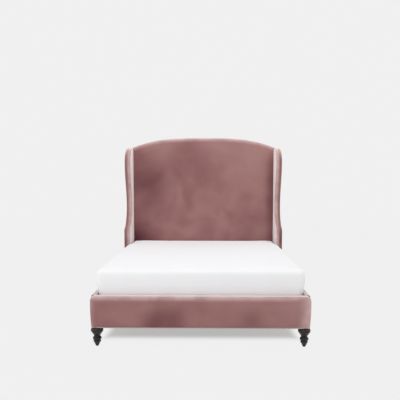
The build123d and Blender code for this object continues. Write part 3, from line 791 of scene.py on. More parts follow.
def paint_edge_sheen(piece, shares):
    """Notes each point's share of the painted sheen along the padded edges of a piece."""
    marked = piece.data.attributes.new(PAINTED_EDGE_SHEEN, "FLOAT", "POINT")
    marked.data.foreach_set("value", shares.astype(np.float32))


def coat(piece, material):
    """Gives a piece or a node its only material."""
    piece.data.materials.clear()
    piece.data.materials.append(material)


def dress(piece, material, nodes, body=BED):
    """Gives a finished piece its material and smooth shading, hides the nodes that it stands for and puts it
    on its body.
    """
    coat(piece, material)
    piece.data.shade_smooth()
    if nodes:
        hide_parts(*nodes)
    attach(piece, body)


class Rule(Tree):
    """Geometry Nodes for a piece that repeats or follows a path, with its sizes as named inputs."""

    def __init__(self, name, path=(), **sizes):
        self.name, self.path, self.sizes = name, path, {}
        super().__init__(bpy.data.node_groups.new(name, "GeometryNodeTree"))
        sockets = self.tree.interface
        sockets.new_socket("Geometry", in_out="OUTPUT", socket_type="NodeSocketGeometry")
        sockets.new_socket("Path", in_out="INPUT", socket_type="NodeSocketGeometry")
        for title, value in sizes.items():
            kind = "NodeSocketInt" if isinstance(value, int) else "NodeSocketFloat"
            self.sizes[sockets.new_socket(title, in_out="INPUT", socket_type=kind).identifier] = value
        inputs = self.tree.nodes.new("NodeGroupInput").outputs
        self.given = {title: Value(self, inputs[title]) for title in ("Path", *sizes)}

    def vector(self, across=0.0, along=0.0, up=0.0):
        """Three numbers as one vector."""
        return self.node("ShaderNodeCombineXYZ", {0: across, 1: along, 2: up})

    def moved(self, shape, place, scale=(1.0, 1.0, 1.0)):
        """A shape scaled and put in its place."""
        return self.node("GeometryNodeTransform", {"Geometry": shape, "Translation": place, "Scale": scale})

    def joined(self, *shapes):
        """Several shapes as one."""
        made = self.tree.nodes.new("GeometryNodeJoinGeometry")
        for shape in shapes:
            self.tree.links.new(shape.socket, made.inputs[0])
        return Value(self, made.outputs[0])

    def repeated(self, shape, points, **more):
        """A shape at every point."""
        return self.node("GeometryNodeInstanceOnPoints", {"Points": points, "Instance": shape, **more})

    def wire(self, path, radius, sides):
        """Wire of some thickness along a path."""
        ring = self.node("GeometryNodeCurvePrimitiveCircle", {"Resolution": sides, "Radius": radius})
        return self.node("GeometryNodeCurveToMesh", {"Curve": path, "Profile Curve": ring, "Fill Caps": True})

    def make(self, shape, material):
        """Closes the rule, runs it and returns its result as a plain piece."""
        real = self.node("GeometryNodeRealizeInstances", {0: shape})
        covered = self.node("GeometryNodeSetMaterial", {"Geometry": real, "Material": material})
        self.node("NodeGroupOutput", {0: covered})
        mesh = bpy.data.meshes.new(self.name)
        mesh.from_pydata(list(self.path), [(n, n + 1) for n in range(len(self.path) - 1)], [])
        piece = add_object(self.name, mesh)
        modifier = adjust(piece.modifiers.new(self.name, "NODES"), node_group=self.tree)
        for identifier, value in self.sizes.items():
            modifier[identifier] = value
        settle(piece)
        return piece


# Headboard


def arch_height(across):
    """Height of the headboard's top edge at places across the bed."""
    join_sine = ARCH_MIDDLE_HALF / ARCH_MIDDLE_RADIUS
    join_cosine = math.sqrt(1 - join_sine**2)
    join_height = panel_high.z - ARCH_MIDDLE_RADIUS * (1 - join_cosine)
    run, fall = WING_INNER - ARCH_MIDDLE_HALF, join_height - wing_high.z
    radius = (run**2 + fall**2) / (2 * (fall * join_cosine - run * join_sine))
    across = np.abs(across)
    middle = panel_high.z - ARCH_MIDDLE_RADIUS + np.sqrt(ARCH_MIDDLE_RADIUS**2 - across**2)
    reach = np.minimum(np.abs(across - ARCH_MIDDLE_HALF + radius * join_sine), radius)
    shoulder = join_height - radius * join_cosine + np.sqrt(radius**2 - reach**2)
    return np.where(across <= ARCH_MIDDLE_HALF, middle, shoulder)


def panel_patches():
    """Front, top and back of the headboard's pad, as one closed form."""
    half = WING_INNER - math.tan(WING_SPLAY) * (board_low.y - panel_low.y) - PANEL_GAP
    across = rolled_steps(2 * half, PANEL_SIDE_ROLL, PANEL_STEP) - half
    tall = panel_high.z - panel_low.z
    up = rolled_steps(tall, PANEL_ROLL, PANEL_STEP)
    share = np.clip((up - PANEL_ROLL) / (tall - 2 * PANEL_ROLL), 0, 1)
    top = arch_height(across)
    height = panel_low.z + up[:, None] + share[:, None] * (top - panel_high.z)
    above = up > tall - PANEL_ROLL
    height[above] = top - (tall - up[above])[:, None]
    from_side = half - np.abs(across)
    from_end = np.minimum(height - panel_low.z, top - height)
    rolled = np.hypot(rounded(from_side, PANEL_SIDE_ROLL), rounded(from_end, PANEL_ROLL))
    inside = np.clip((np.minimum(from_side, from_end) - PANEL_ROLL) / PANEL_CROWN_REACH, 0, 1)
    front = at(across, panel_low.y + np.minimum(rolled, PANEL_ROLL) + PANEL_CROWN * (1 - inside) ** 2, height)
    squeeze = (top - PANEL_TOP_PADDING - panel_low.z) / (top - panel_low.z)
    back = at(across, board_low.y, blend(squeeze, panel_low.z, height))
    backwards = np.linspace(0, 1, 7)[:, None]
    rear_drop = PANEL_REAR_DROP * backwards**8
    over = at(across, blend(backwards, front[-1, :, 1], panel_high.y), top - rear_drop)
    under = at(across, blend(backwards, board_low.y, panel_high.y), top - PANEL_TOP_PADDING)
    outer, inner = np.concatenate((front, over[1:])), np.concatenate((back, under[1:]))
    ends = [np.stack((outer[:, column], inner[:, column])) for column in (0, -1)]
    edges = [np.stack((outer[row], inner[row])) for row in (0, -1)]
    return [outer, inner, *ends, *edges]


class BED_OT_pad_headboard(Operator):
    """Pads the headboard and draws velvet over its arch"""

    bl_idname = "bed.pad_headboard"
    bl_label = "Pad headboard"

    def execute(self, context):
        cover = context.scene.bed_velvet
        piece = build("headboard_velvet", panel_patches())
        free = (places(piece)[:, 1] < board_low.y - PANEL_TACKED) & (normals(piece)[:, 1] < 0.5)
        puff(piece, ~free, cover.panel_puff)
        points = places(piece)
        # Painted sheen on the roll under the arch
        paint_edge_sheen(piece, 1 - eased(arch_height(points[:, 0]) - points[:, 2], 0, PANEL_SHEEN_REACH))
        dress(piece, velvet("velvet_panel", cover, PANEL_MARKS), ["headboard_pad"])
        return {"FINISHED"}


# Wings


def wing_outline(step):
    """Front and top edge of a wing seen from its side, and where on it the ear's corner lies."""
    arm_run, arm_rise = 1 - math.cos(ARM_TURN), math.sin(ARM_TURN)
    ear_run, ear_rise = 1 - math.cos(EAR_SLOPE), math.sin(EAR_SLOPE)
    ear_radii = WAIST_HIGH_RADIUS + EAR_NOSE_RADIUS
    arm_radii = (ARM_DEPTH - WAIST_DEPTH) / arm_run
    slope = (EAR_DEPTH - WAIST_DEPTH - ear_radii * ear_run) / ear_rise
    ear_tall = EAR_DEPTH + ear_radii * ear_rise + slope * math.cos(EAR_SLOPE)
    arm_top = wing_high.z - ear_tall - arm_radii * arm_rise
    back = (wing_high.y - panel_low.y) / math.cos(WING_SPLAY) - WING_THICKNESS / 2 * math.tan(WING_SPLAY)
    half_corner = (EAR_DEPTH, -math.pi / 4)
    to_corner = (
        (arm_top - wing_low.z, 0),
        (ARM_ROUND_RADIUS, -ARM_TURN),
        (arm_radii - ARM_ROUND_RADIUS, ARM_TURN),
        (WAIST_HIGH_RADIUS, EAR_SLOPE),
        (slope, 0),
        (EAR_NOSE_RADIUS, -EAR_SLOPE),
        half_corner,
    )
    parts = (to_corner, (half_corner, (back, 0)))
    points, heads, ends = trace((-ARM_DEPTH, wing_low.z), math.pi / 2, parts, step)
    return points, heads, ends[0]


def on_wing(line, level):
    """Place of points given behind the padded face and up, at a level outwards through the right wing."""
    behind, up = line[..., 0], line[..., 1]
    straight = np.clip(math.tan(WING_SPLAY) * behind - WING_STRAIGHT_GAP, 0, None)
    level = np.maximum(level, straight * (behind > WING_STRAIGHT_FROM))
    across = WING_INNER - behind * math.sin(WING_SPLAY) + level * math.cos(WING_SPLAY)
    along = panel_low.y + behind * math.cos(WING_SPLAY) + level * math.sin(WING_SPLAY)
    return at(across, np.minimum(along, wing_high.y), up)


def wing_patches():
    """Inner face, rolled edge, outer face and rear fold of the right wing's cover."""
    points, heads, corner = wing_outline(WING_STEP)
    faces = []
    for inset, level in ((WING_INNER_ROLL[0], 0.0), (WING_ROLL, WING_THICKNESS)):
        line = inset_by(points, heads, inset)
        rear = np.linspace((points[-1, 0], wing_low.z), line[-1], corner + 1)
        low = np.linspace(line[0], rear[0], len(points) - corner)
        faces.append(on_wing(coons(line[: corner + 1], rear, low, line[corner:]), level))
    middle = (0.0, (WING_INNER_ROLL[1] + WING_THICKNESS - WING_ROLL) / 2)
    outer = (0.0, WING_THICKNESS) + quarter(WING_ROLL, -WING_ROLL, 6)
    sections = [*quarter(*WING_INNER_ROLL, 6), middle, *outer[::-1]]
    rows = np.array([on_wing(inset_by(points, heads, inset), level) for inset, level in sections])
    rear = np.concatenate((faces[0][:, -1], rows[1:, -1], faces[1][::-1, -1][1:]))
    core_top = wing_high.z - WING_THICKNESS / 2
    inward = at((rear[0, 0] + rear[-1, 0]) / 2, rear[:, 1], np.minimum(rear[:, 2], core_top)) - rear
    away = np.linalg.norm(inward, axis=1, keepdims=True)
    folded = rear + inward * WING_FOLD / np.maximum(away, WING_FOLD) + (0, WING_FOLD_BEHIND, 0)
    return [faces[0], rows, faces[1], np.array([rear, folded])]


class BED_OT_cover_wings(Operator):
    """Wraps both wings in velvet, gathered along their front corners"""

    bl_idname = "bed.cover_wings"
    bl_label = "Cover wings"

    def execute(self, context):
        cover = context.scene.bed_velvet
        material = velvet("velvet_wing", cover, WING_MARKS, painted_sheen_from=(0.32, 0.80), painted_sheen_most=0.95, sheen=1.0)
        points, heads, _ = wing_outline(SEAM_STEP)
        seam = on_wing(inset_by(points, heads, WING_SEAM), WING_SEAM)
        for side, sign, seed in (("right", 1, 11), ("left", -1, 12)):
            piece = build(f"wing_velvet_{side}", [patch * (sign, 1, 1) for patch in wing_patches()])
            rear = places(piece)[:, 1] > wing_high.y - WING_TACKED
            puff(piece, boundary(piece) | rear, cover.edge_puff)
            gather(piece, seam * (sign, 1, 1), cover.pucker, seed, spacing=0.024, fade=0.016, groove=0.0012)
            thicken(piece, cover.thickness)
            points = places(piece)
            # Painted sheen near the top of the ear and on the inner face
            ear = 1 - eased(wing_high.z - points[:, 2], *EAR_SHEEN_REACH)
            inside = 1 - eased(np.abs(points[:, 0]), *WING_SHEEN_REACH)
            paint_edge_sheen(piece, np.maximum(EAR_SHEEN * ear, inside))
            dress(piece, material, [f"wing_cover_{side}"])
        return {"FINISHED"}


# Foot


def foot_outline():
    """Edge of the foot panel seen from the front, and where on it its corners lie."""
    tuck_turn = -2 * math.atan(FOOT_TUCK / FOOT_TUCK_HEIGHT)
    tuck = ((FOOT_TUCK**2 + FOOT_TUCK_HEIGHT**2) / (2 * FOOT_TUCK), tuck_turn)
    side = (foot_high.z - foot_low.z - FOOT_TUCK_HEIGHT - FOOT_CORNER_RADIUS, 0)
    bend = (FOOT_CORNER_RADIUS, -math.pi / 4)
    top = (2 * (foot_high.x - FOOT_CORNER_RADIUS), 0)
    parts = ((tuck, side, bend), (bend, top, bend), (bend, side, tuck))
    return trace((FOOT_TUCK - foot_high.x, foot_low.z), math.pi / 2 - tuck_turn, parts, FOOT_STEP)


def foot_patches():
    """Front, rolled edges, ends, top and back skin of the foot's cover."""
    points, heads, (left, right, _) = foot_outline()
    wide, deep = FOOT_ROLL

    def border(inset):
        """The outline drawn in, down to the panel's lower edge."""
        line = inset_by(points, heads, inset)
        line[(0, -1), 1] = foot_low.z
        return line

    def sunk(up, drop):
        """Place along the bed of the front, as it falls back at its lower edge and by a drop."""
        return foot_low.y + np.minimum(np.hypot(drop, rounded(up - foot_low.z, *FOOT_HEM_ROLL)), deep)

    line = border(wide)
    bottom = np.linspace(line[0], line[-1], right - left + 1)
    face = coons(line[: left + 1], line[right:][::-1], bottom, line[left : right + 1])
    across, up = face[..., 0], face[..., 1]
    from_edge = np.minimum(foot_high.x - np.abs(across), foot_high.z - up)
    crowned = FOOT_CROWN * eased(from_edge, wide, FOOT_CROWN_REACH)
    crowned[:, (0, -1)] = 0
    front = at(across, sunk(up, 0) - crowned, up)
    rows = []
    for inset, drop in quarter(wide, deep, 8):
        across, up = border(inset).T
        rows.append(at(across, sunk(up, drop), up))
    across, up = points.T
    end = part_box("foot_corner_post_right")[1].y
    rows += [at(across, along, up) for along in np.linspace(foot_low.y + deep, end, 4)[1:]]
    inner = across[(np.abs(across) < rail_low.x) & (up > foot_high.z - WELD)]
    reach = foot_high.y - end
    skin = [at(inner, foot_high.y - inset, foot_high.z - drop) for inset, drop in quarter(reach, reach, 4)]
    heights = np.linspace(foot_high.z - reach, slat_low.z + SKIN_GAP, 7)[1:]
    skin += [at(inner, foot_high.y, height) for height in heights]
    return [front, np.array(rows), np.array(skin)]


class BED_OT_cover_foot(Operator):
    """Wraps the foot panel in velvet, pulled over its top"""

    bl_idname = "bed.cover_foot"
    bl_label = "Cover foot"

    def execute(self, context):
        cover = context.scene.bed_velvet
        piece = build("foot_velvet", foot_patches())
        puff(piece, boundary(piece), cover.edge_puff)
        across = np.linspace(-foot_high.x, foot_high.x, 400)
        seam = at(across, foot_low.y + FOOT_SEAM[0], foot_high.z + FOOT_SEAM[1])
        gather(piece, seam, cover.pucker, 21, spacing=0.115, fade=0.030)
        thicken(piece, cover.thickness)
        points = places(piece)
        # Painted sheen along the top and at both ends, stronger and wider at the right end
        pale = 1 - eased(foot_high.z - points[:, 2], 0, FOOT_SHEEN_REACH)
        right = points[:, 0] > 0
        end = 1 - eased(foot_high.x - np.abs(points[:, 0]), 0, np.where(right, *FOOT_END_SHEEN_REACH))
        paint_edge_sheen(piece, np.maximum(pale, np.where(right, *FOOT_END_SHEEN[::-1]) * end))
        dress(piece, velvet("velvet_foot", cover, FOOT_MARKS), ["foot_cover"])
        return {"FINISHED"}


# Side rails


def rail_profile():
    """Outer face, top and inner skin of the right side rail's cover, seen along the bed."""
    moves = (
        (rail_high.z - rail_low.z - RAIL_OUTER_RADIUS, 0),
        (RAIL_OUTER_RADIUS, math.pi / 2),
        (rail_high.x - rail_low.x - RAIL_OUTER_RADIUS - RAIL_INNER_RADIUS, 0),
        (RAIL_INNER_RADIUS, math.pi / 2),
        (rail_high.z - RAIL_INNER_RADIUS - slat_low.z - SKIN_GAP, 0),
    )
    across, up = trace((rail_high.x, rail_low.z), math.pi / 2, [moves], RAIL_STEP)[0].T
    return at(across, 0, up)


def swept_rail(name, sign, material):
    """A rail's cover: its profile swept from a folded end at the foot to a mitre against the wing."""
    rule = Rule(
        name,
        rail_profile() * (sign, 1, 1),
        Front=rail_low.y,
        Back=rail_high.y,
        Side=rail_high.x,
        Top=rail_high.z,
        Mitre=math.tan(WING_SPLAY),
        Fold=RAIL_FOLD,
        Rows=round((rail_high.y - rail_low.y) / RAIL_STEP),
    )
    path, front, back, side, top, mitre, fold, rows = rule.given.values()
    count = rule.node("GeometryNodeAttributeDomainSize", {"Geometry": path}, "Point Count", component="MESH")
    sockets = {"Size X": 1.0, "Size Y": 1.0, "Vertices X": rows + 1.0, "Vertices Y": count}
    grid = rule.node("GeometryNodeMeshGrid", sockets, "Mesh")
    number = rule.node("GeometryNodeInputIndex")
    row = rule.maths("FLOOR", (number + 0.5) / count)
    place = rule.node("GeometryNodeInputPosition")
    sockets = {"Geometry": path, "Value": place, "Index": number - row * count}
    sampled = rule.node("GeometryNodeSampleIndex", sockets, "Value", data_type="FLOAT_VECTOR")
    across = rule.axis(sampled, "X")
    aside = rule.maths("ABSOLUTE", across)
    share = rule.maths("MAXIMUM", (row - 1.0) / (rows - 1.0), 0.0)
    run = share * (back - (side - aside) * mitre - front)
    folded = rule.maths("LESS_THAN", row, 0.5) * fold
    drawn_in = rule.maths("MINIMUM", aside, side - folded) * rule.maths("SIGN", across)
    up = rule.maths("MINIMUM", rule.axis(sampled, "Z"), top - folded)
    sockets = {"Geometry": grid, "Position": rule.vector(drawn_in, front + run, up)}
    piece = rule.make(rule.node("GeometryNodeSetPosition", sockets), material)
    outwards(piece)
    return piece


class BED_OT_cover_rails(Operator):
    """Wraps both side rails in velvet"""

    bl_idname = "bed.cover_rails"
    bl_label = "Cover side rails"

    def execute(self, context):
        cover = context.scene.bed_velvet
        material = velvet("velvet_rail", cover)
        for side, sign in (("right", 1), ("left", -1)):
            piece = swept_rail(f"side_rail_velvet_{side}", sign, material)
            puff(piece, boundary(piece), cover.edge_puff)
            thicken(piece, cover.thickness)
            dress(piece, material, [f"side_rail_cover_{side}"])
        return {"FINISHED"}


# Back


def back_top(across):
    """Height of the back cover's top edge at places across the bed."""
    inset = panel_high.z - cover_high.z
    ear = wing_high.z - inset - rounded(cover_high.x - np.abs(across), BACK_CORNER)
    return np.where(np.abs(across) > WING_INNER, ear, arch_height(across) - inset)


class BED_OT_cover_back(Operator):
    """Closes the back of the headboard with a flat velvet cover"""

    bl_idname = "bed.cover_back"
    bl_label = "Cover back"

    def execute(self, context):
        cover = context.scene.bed_velvet
        half = cover_high.x
        shoulder = quarter(BACK_CORNER, BACK_CORNER, 6)[:, 1] - half
        across = np.concatenate((rolled_steps(2 * half, BACK_ROLL, BACK_STEP, 4) - half, shoulder, -shoulder))
        across = np.unique(np.round(across, 6))
        top = back_top(across)
        tall = cover_high.z - cover_low.z
        share = rolled_steps(tall, BACK_ROLL, BACK_STEP, 4)[:, None] / tall
        height = blend(share, cover_low.z, top)
        from_end = np.minimum(height - cover_low.z, top - height)
        nearest = np.clip(np.minimum(half - np.abs(across), from_end), 0, BACK_ROLL)
        depth = cover_low.y + np.sqrt(np.clip(BACK_ROLL**2 - (BACK_ROLL - nearest) ** 2, 0, None))
        patches = [at(across, depth, height), at(across, cover_low.y, height)]
        piece = build("headboard_back_velvet", patches)
        dress(piece, velvet("velvet_back", cover), ["headboard_back_cover"])
        tint = darker(cover.middle, 0.9)
        self.stitch(fine_grained("thread", tint, 900.0, dark=0.75, depth=0.4, roughness=0.7, relief=0.4))
        return {"FINISHED"}

    def stitch(self, thread):
        """Slip stitches up one side of the back cover, over its arch and down the other side."""
        half = cover_high.x - STITCH_INSET
        across = np.linspace(-half, half, 401)
        depth = cover_low.y + math.sqrt(BACK_ROLL**2 - (BACK_ROLL - STITCH_INSET) ** 2)
        arch = at(across, depth, back_top(across) - STITCH_INSET)
        path = [(-half, depth, cover_low.z), *arch, (half, depth, cover_low.z)]
        rule = Rule("back_stitches", path, Spacing=STITCH_SPACING, Length=STITCH_LENGTH, Thread=THREAD_RADIUS)
        line, spacing, long, radius = rule.given.values()
        line = rule.node("GeometryNodeMeshToCurve", {"Mesh": line})
        spaced = rule.node("GeometryNodeResampleCurve", {"Curve": line, "Length": spacing}, mode="LENGTH")
        ball = rule.node("GeometryNodeMeshUVSphere", {"Segments": 6, "Rings": 4, "Radius": 1.0}, "Mesh")
        stitch = rule.moved(ball, (0.0, 0.0, 0.0), rule.vector(radius, radius, long * 0.5))
        tangent = rule.node("GeometryNodeInputTangent")
        turned = rule.node("FunctionNodeAlignRotationToVector", {"Vector": tangent}, axis="Z")
        dress(rule.make(rule.repeated(stitch, spaced, Rotation=turned), thread), thread, [])


# Mattress and sheet


def rounded_ring(half_across, half_along, radius, side_counts, corner_count=9):
    """Sides of a rounded rectangle, each from the middle of one corner to the middle of the next."""
    arcs = []
    for across, along in ((1, -1), (1, 1), (-1, 1), (-1, -1)):
        angles = math.atan2(along, across) + np.linspace(-math.pi / 4, math.pi / 4, corner_count)
        centre = np.array((across * (half_across - radius), along * (half_along - radius)))
        arcs.append(centre + radius * np.stack((np.cos(angles), np.sin(angles)), axis=-1))
    half = corner_count // 2
    sides = []
    for number, (first, second) in enumerate(zip(arcs, arcs[1:] + arcs[:1])):
        run = np.linspace(first[-1], second[0], side_counts[number % 2] + 2)
        sides.append(np.concatenate((first[half:], run[1:-1], second[: half + 1])))
    return sides


def bedding_patches(draw_in, step, tuck):
    """Top and wall of the mattress's rounded block, drawn in by a layer; the wall folds in underneath."""
    middle = (sheet_low.y + sheet_high.y) / 2
    half_across, half_along = sheet_high.x - draw_in, (sheet_high.y - sheet_low.y) / 2 - draw_in
    low, high = sheet_low.z + draw_in, sheet_high.z - draw_in
    edge, corner = MATTRESS_EDGE - draw_in, MATTRESS_CORNER - draw_in
    counts = (round(2 * half_along / step), round(2 * half_across / step))
    roll = quarter(edge, edge, 7)
    heights = np.linspace(high - edge, low + edge, round((high - low) / step))[1:-1]
    levels = [(inset, high - drop) for inset, drop in roll] + [(0.0, height) for height in heights]
    levels += [(inset, low + drop) for inset, drop in roll[::-1]]
    levels += [(inset, low) for inset in np.linspace(edge, tuck, 5)[1:]]
    wall = []
    for inset, height in levels:
        radius = corner - min(inset, edge) + TUCK_ROUNDING * max(inset - edge, 0)
        sides = rounded_ring(half_across - inset, half_along - inset, radius, counts)
        ring = np.concatenate([side[:-1] for side in sides] + [sides[0][:1]])
        wall.append(at(ring[:, 0], ring[:, 1] + middle, height))
    right, back, left, front = rounded_ring(half_across - edge, half_along - edge, corner - edge, counts)
    face = coons(left[::-1], right, front, back[::-1])
    return at(face[..., 0], face[..., 1] + middle, high), np.array(wall)


def swell(piece, linen):
    """Fills the bedding out above the rails: its sides lean over them and its top domes."""
    points = places(piece)
    middle, half_along = (sheet_low.y + sheet_high.y) / 2, (sheet_high.y - sheet_low.y) / 2
    up = np.clip((points[:, 2] - rail_high.z) / (sheet_high.z - rail_high.z), 0, 1)
    side, end = points[:, 0] / sheet_high.x, (points[:, 1] - middle) / half_along
    lean = np.sin(LEAN_TURN * up)
    wing_front = panel_low.y - ARM_DEPTH
    beside = eased(points[:, 1], wing_front - WING_RUN, wing_front - WING_GAP)
    grown = eased(points[:, 1], *LEAN_REACH) * (1 - beside) * (1 - LEAN_BIAS * np.where(side < 0, -1, 1))
    points[:, 0] += linen.lean * grown * lean * np.sign(side) * np.abs(side) ** LEAN_POWERS[0]
    points[:, 1] -= linen.front_lean * lean * np.clip(-end, 0, 1) ** LEAN_POWERS[1]
    for share, power in zip((side, end), DOME_POWERS):
        up = up * np.sqrt(1 - np.clip(np.abs(share), 0, 1) ** power)
    points[:, 2] += linen.dome * up
    put_back(piece, points)


def crease(piece, height, seed):
    """Soft pulls in the sheet that run in from its corners."""
    draw = np.random.default_rng(seed)
    points, outward = places(piece), normals(piece)
    drop = np.clip(sheet_high.z - points[:, 2:], 0, None)
    flat = points[:, :2] + np.sign(points[:, :2]) * drop * (np.abs(outward[:, :2]) > WALL_TILT)
    raised = np.zeros(len(points))
    for across, along in ((-1, -1), (-1, 1), (1, -1), (1, 1)):
        corner = (across * (sheet_high.x - MATTRESS_CORNER), along * (sheet_high.y - MATTRESS_CORNER))
        for _ in range(CREASES):
            inward = math.atan2(-along, -across) + draw.uniform(*CREASE_SPREAD)
            reach, width = draw.uniform(*CREASE_REACH), draw.uniform(*CREASE_WIDTH)
            ahead = (flat - corner) @ (math.cos(inward), math.sin(inward))
            aside = (flat - corner) @ (-math.sin(inward), math.cos(inward))
            wide = width * (1 + np.clip(ahead, 0, None) / reach)
            shown = eased(ahead, *CREASE_START) * (1 - eased(ahead, CREASE_FADE_FROM * reach, reach))
            raised += draw.uniform(*CREASE_STRENGTH) * shown * np.exp(-((aside / wide) ** 2))
    free = eased(points[:, 2] - rail_high.z, *CREASE_FREE)
    put_back(piece, points + outward * (height * np.tanh(raised) * free)[:, None])


class BED_OT_dress_mattress(Operator):
    """Makes the mattress and pulls a fitted sheet over it"""

    bl_idname = "bed.dress_mattress"
    bl_label = "Dress mattress"

    def execute(self, context):
        linen = context.scene.bed_linen
        sheet = build("fitted_sheet_cotton", bedding_patches(0.0, SHEET_STEP, SHEET_TUCK))
        swell(sheet, linen)
        puff(sheet, boundary(sheet) | (places(sheet)[:, 2] < rail_high.z), SHEET_PUFF, pressure=0.8)
        crease(sheet, linen.crease, 31)
        thicken(sheet, linen.thickness)
        dress(sheet, woven("cotton", linen.sheet, 0.0012), ["fitted_sheet"], MATTRESS)
        top, wall = bedding_patches(SHEET_GAP, MATTRESS_STEP, MATTRESS_EDGE - SHEET_GAP)
        under = at(top[..., 0], top[..., 1], sheet_low.z + SHEET_GAP)
        mattress = build("mattress_ticking", [top, wall[:-4], under])
        swell(mattress, linen)
        refine(mattress)
        ticking = woven("ticking", linen.ticking, 0.0015, linen.ticking_stripe, stripe=0.03)
        dress(mattress, ticking, ["mattress"], MATTRESS)
        return {"FINISHED"}


# Timber and metal


class BED_OT_finish_timber(Operator):
    """Stains the legs and finishes the hidden timber, straps and metal"""

    bl_idname = "bed.finish_timber"
    bl_label = "Finish timber and metal"

    def execute(self, context):
        tones = context.scene.bed_timber
        stain = stained("dark_stain", tones.leg, tones.leg_red_and_reflection)
        pine = {axis: timber(f"pine_{axis.lower()}", tones.pine, axis) for axis in "XYZ"}
        slat = timber("slat_pine", tones.slat, "X", gloss=0.6, contrast=0.14)
        ply = laminated("birch_ply", tones.birch)
        steel = plated("zinc_plate", tones.steel)
        webbing = woven("webbing", tones.webbing, 0.002)
        black = (0.09, 0.09, 0.09)
        plastic = fine_grained("black_plastic", black, 30.0, dark=0.7, depth=0.3, roughness=0.55, relief=0.3)
        finishes = (
            (stain, "front_leg", "rear_leg"),
            (plastic, "leg_glides", "levelling_foot"),
            (steel, "leg_bolts", "leg_plates", "wing_bolts", "ledger_screws", "rail_", "beam_hangers"),
            (webbing, "slat_straps"),
            (slat, "slat_"),
            (ply, "headboard_face_board", "headboard_arch_rail", "foot_face_board", "wing_board"),
            (pine["Z"], "centre_leg", "headboard_post", "foot_corner_post"),
            (pine["Y"], "centre_beam", "ledger_left", "ledger_right", "side_rail"),
            (pine["X"], "leg_block", "headboard_", "foot_"),
        )
        for name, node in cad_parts.items():
            if not node.hide_render:
                coat(node, next(made for made, *starts in finishes if name.startswith(tuple(starts))))
        return {"FINISHED"}


class BED_OT_add_fixings(Operator):
    """Staples the straps to the slats and cuts the threads of the levelling feet"""

    bl_idname = "bed.add_fixings"
    bl_label = "Add fixings"

    def execute(self, context):
        steel = plated("zinc_wire", context.scene.bed_timber.steel)
        dress(self.staples(steel), steel, [])
        for end in ("front", "rear"):
            stud = self.threaded_stud(f"levelling_thread_{end}", f"levelling_foot_{end}", steel)
            dress(stud, steel, [], f"{end}_levelling_foot")
        return {"FINISHED"}

    def staples(self, material):
        """A pair of staples through each strap at every slat."""
        strap_low, strap_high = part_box("slat_straps")
        rule = Rule(
            "strap_staples",
            Apart=-2 * strap_low.x - 2 * (strap_high.x - STRAP_OFFSET),
            Run=strap_high.y - strap_low.y - (slat_high.y - slat_low.y),
            Slats=len([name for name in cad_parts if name.startswith("slat_") and name[-2:].isdigit()]),
            Crown=STAPLE_CROWN,
            Wire=STAPLE_WIRE,
            Pair=STAPLE_PAIR,
        )
        _, apart, run, slats, crown, wire, pair = rule.given.values()
        sockets = {"Resolution": 8}
        for end, share in (("Start", -0.5), ("End", 0.5)):
            sockets[end] = rule.vector(crown * share, 0.0, wire)
            sockets[f"{end} Handle"] = rule.vector(crown * share, 0.0, wire * -1.0)
        bent = rule.node("GeometryNodeCurvePrimitiveBezierSegment", sockets, mode="POSITION")
        staple = rule.wire(bent, wire, 6)
        both = rule.joined(*(rule.moved(staple, rule.vector(0.0, pair * share)) for share in (0.5, -0.5)))
        sockets = {"Size X": apart, "Size Y": run, "Vertices X": 2, "Vertices Y": slats}
        grid = rule.node("GeometryNodeMeshGrid", sockets, "Mesh")
        middle = (0.0, (strap_low.y + strap_high.y) / 2, strap_low.z)
        return rule.make(rule.repeated(both, rule.moved(grid, middle)), material)

    def threaded_stud(self, name, foot, material):
        """Steel stud with a helical thread, round the core of a levelling foot."""
        low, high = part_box(foot)
        middle = (low + high) / 2
        tall = high.z - FOOT_PAD_HEIGHT - THREAD_PITCH
        rule = Rule(name, Radius=STUD_RADIUS, Height=tall, Pitch=THREAD_PITCH, Depth=THREAD_DEPTH)
        _, radius, height, pitch, depth = rule.given.values()
        radii = {"Start Radius": radius, "End Radius": radius}
        sockets = {"Resolution": 16, "Rotations": height / pitch, "Height": height, **radii}
        ridge = rule.wire(rule.node("GeometryNodeCurveSpiral", sockets), depth, 3)
        sockets = {"Vertices": 24, "Radius": radius, "Depth": height}
        core = rule.node("GeometryNodeMeshCylinder", sockets, "Mesh")
        core = rule.moved(core, rule.vector(0.0, 0.0, height * 0.5))
        place = (middle.x, middle.y, FOOT_PAD_HEIGHT + THREAD_PITCH / 2)
        return rule.make(rule.moved(rule.joined(core, ridge), place), material)


# Stage


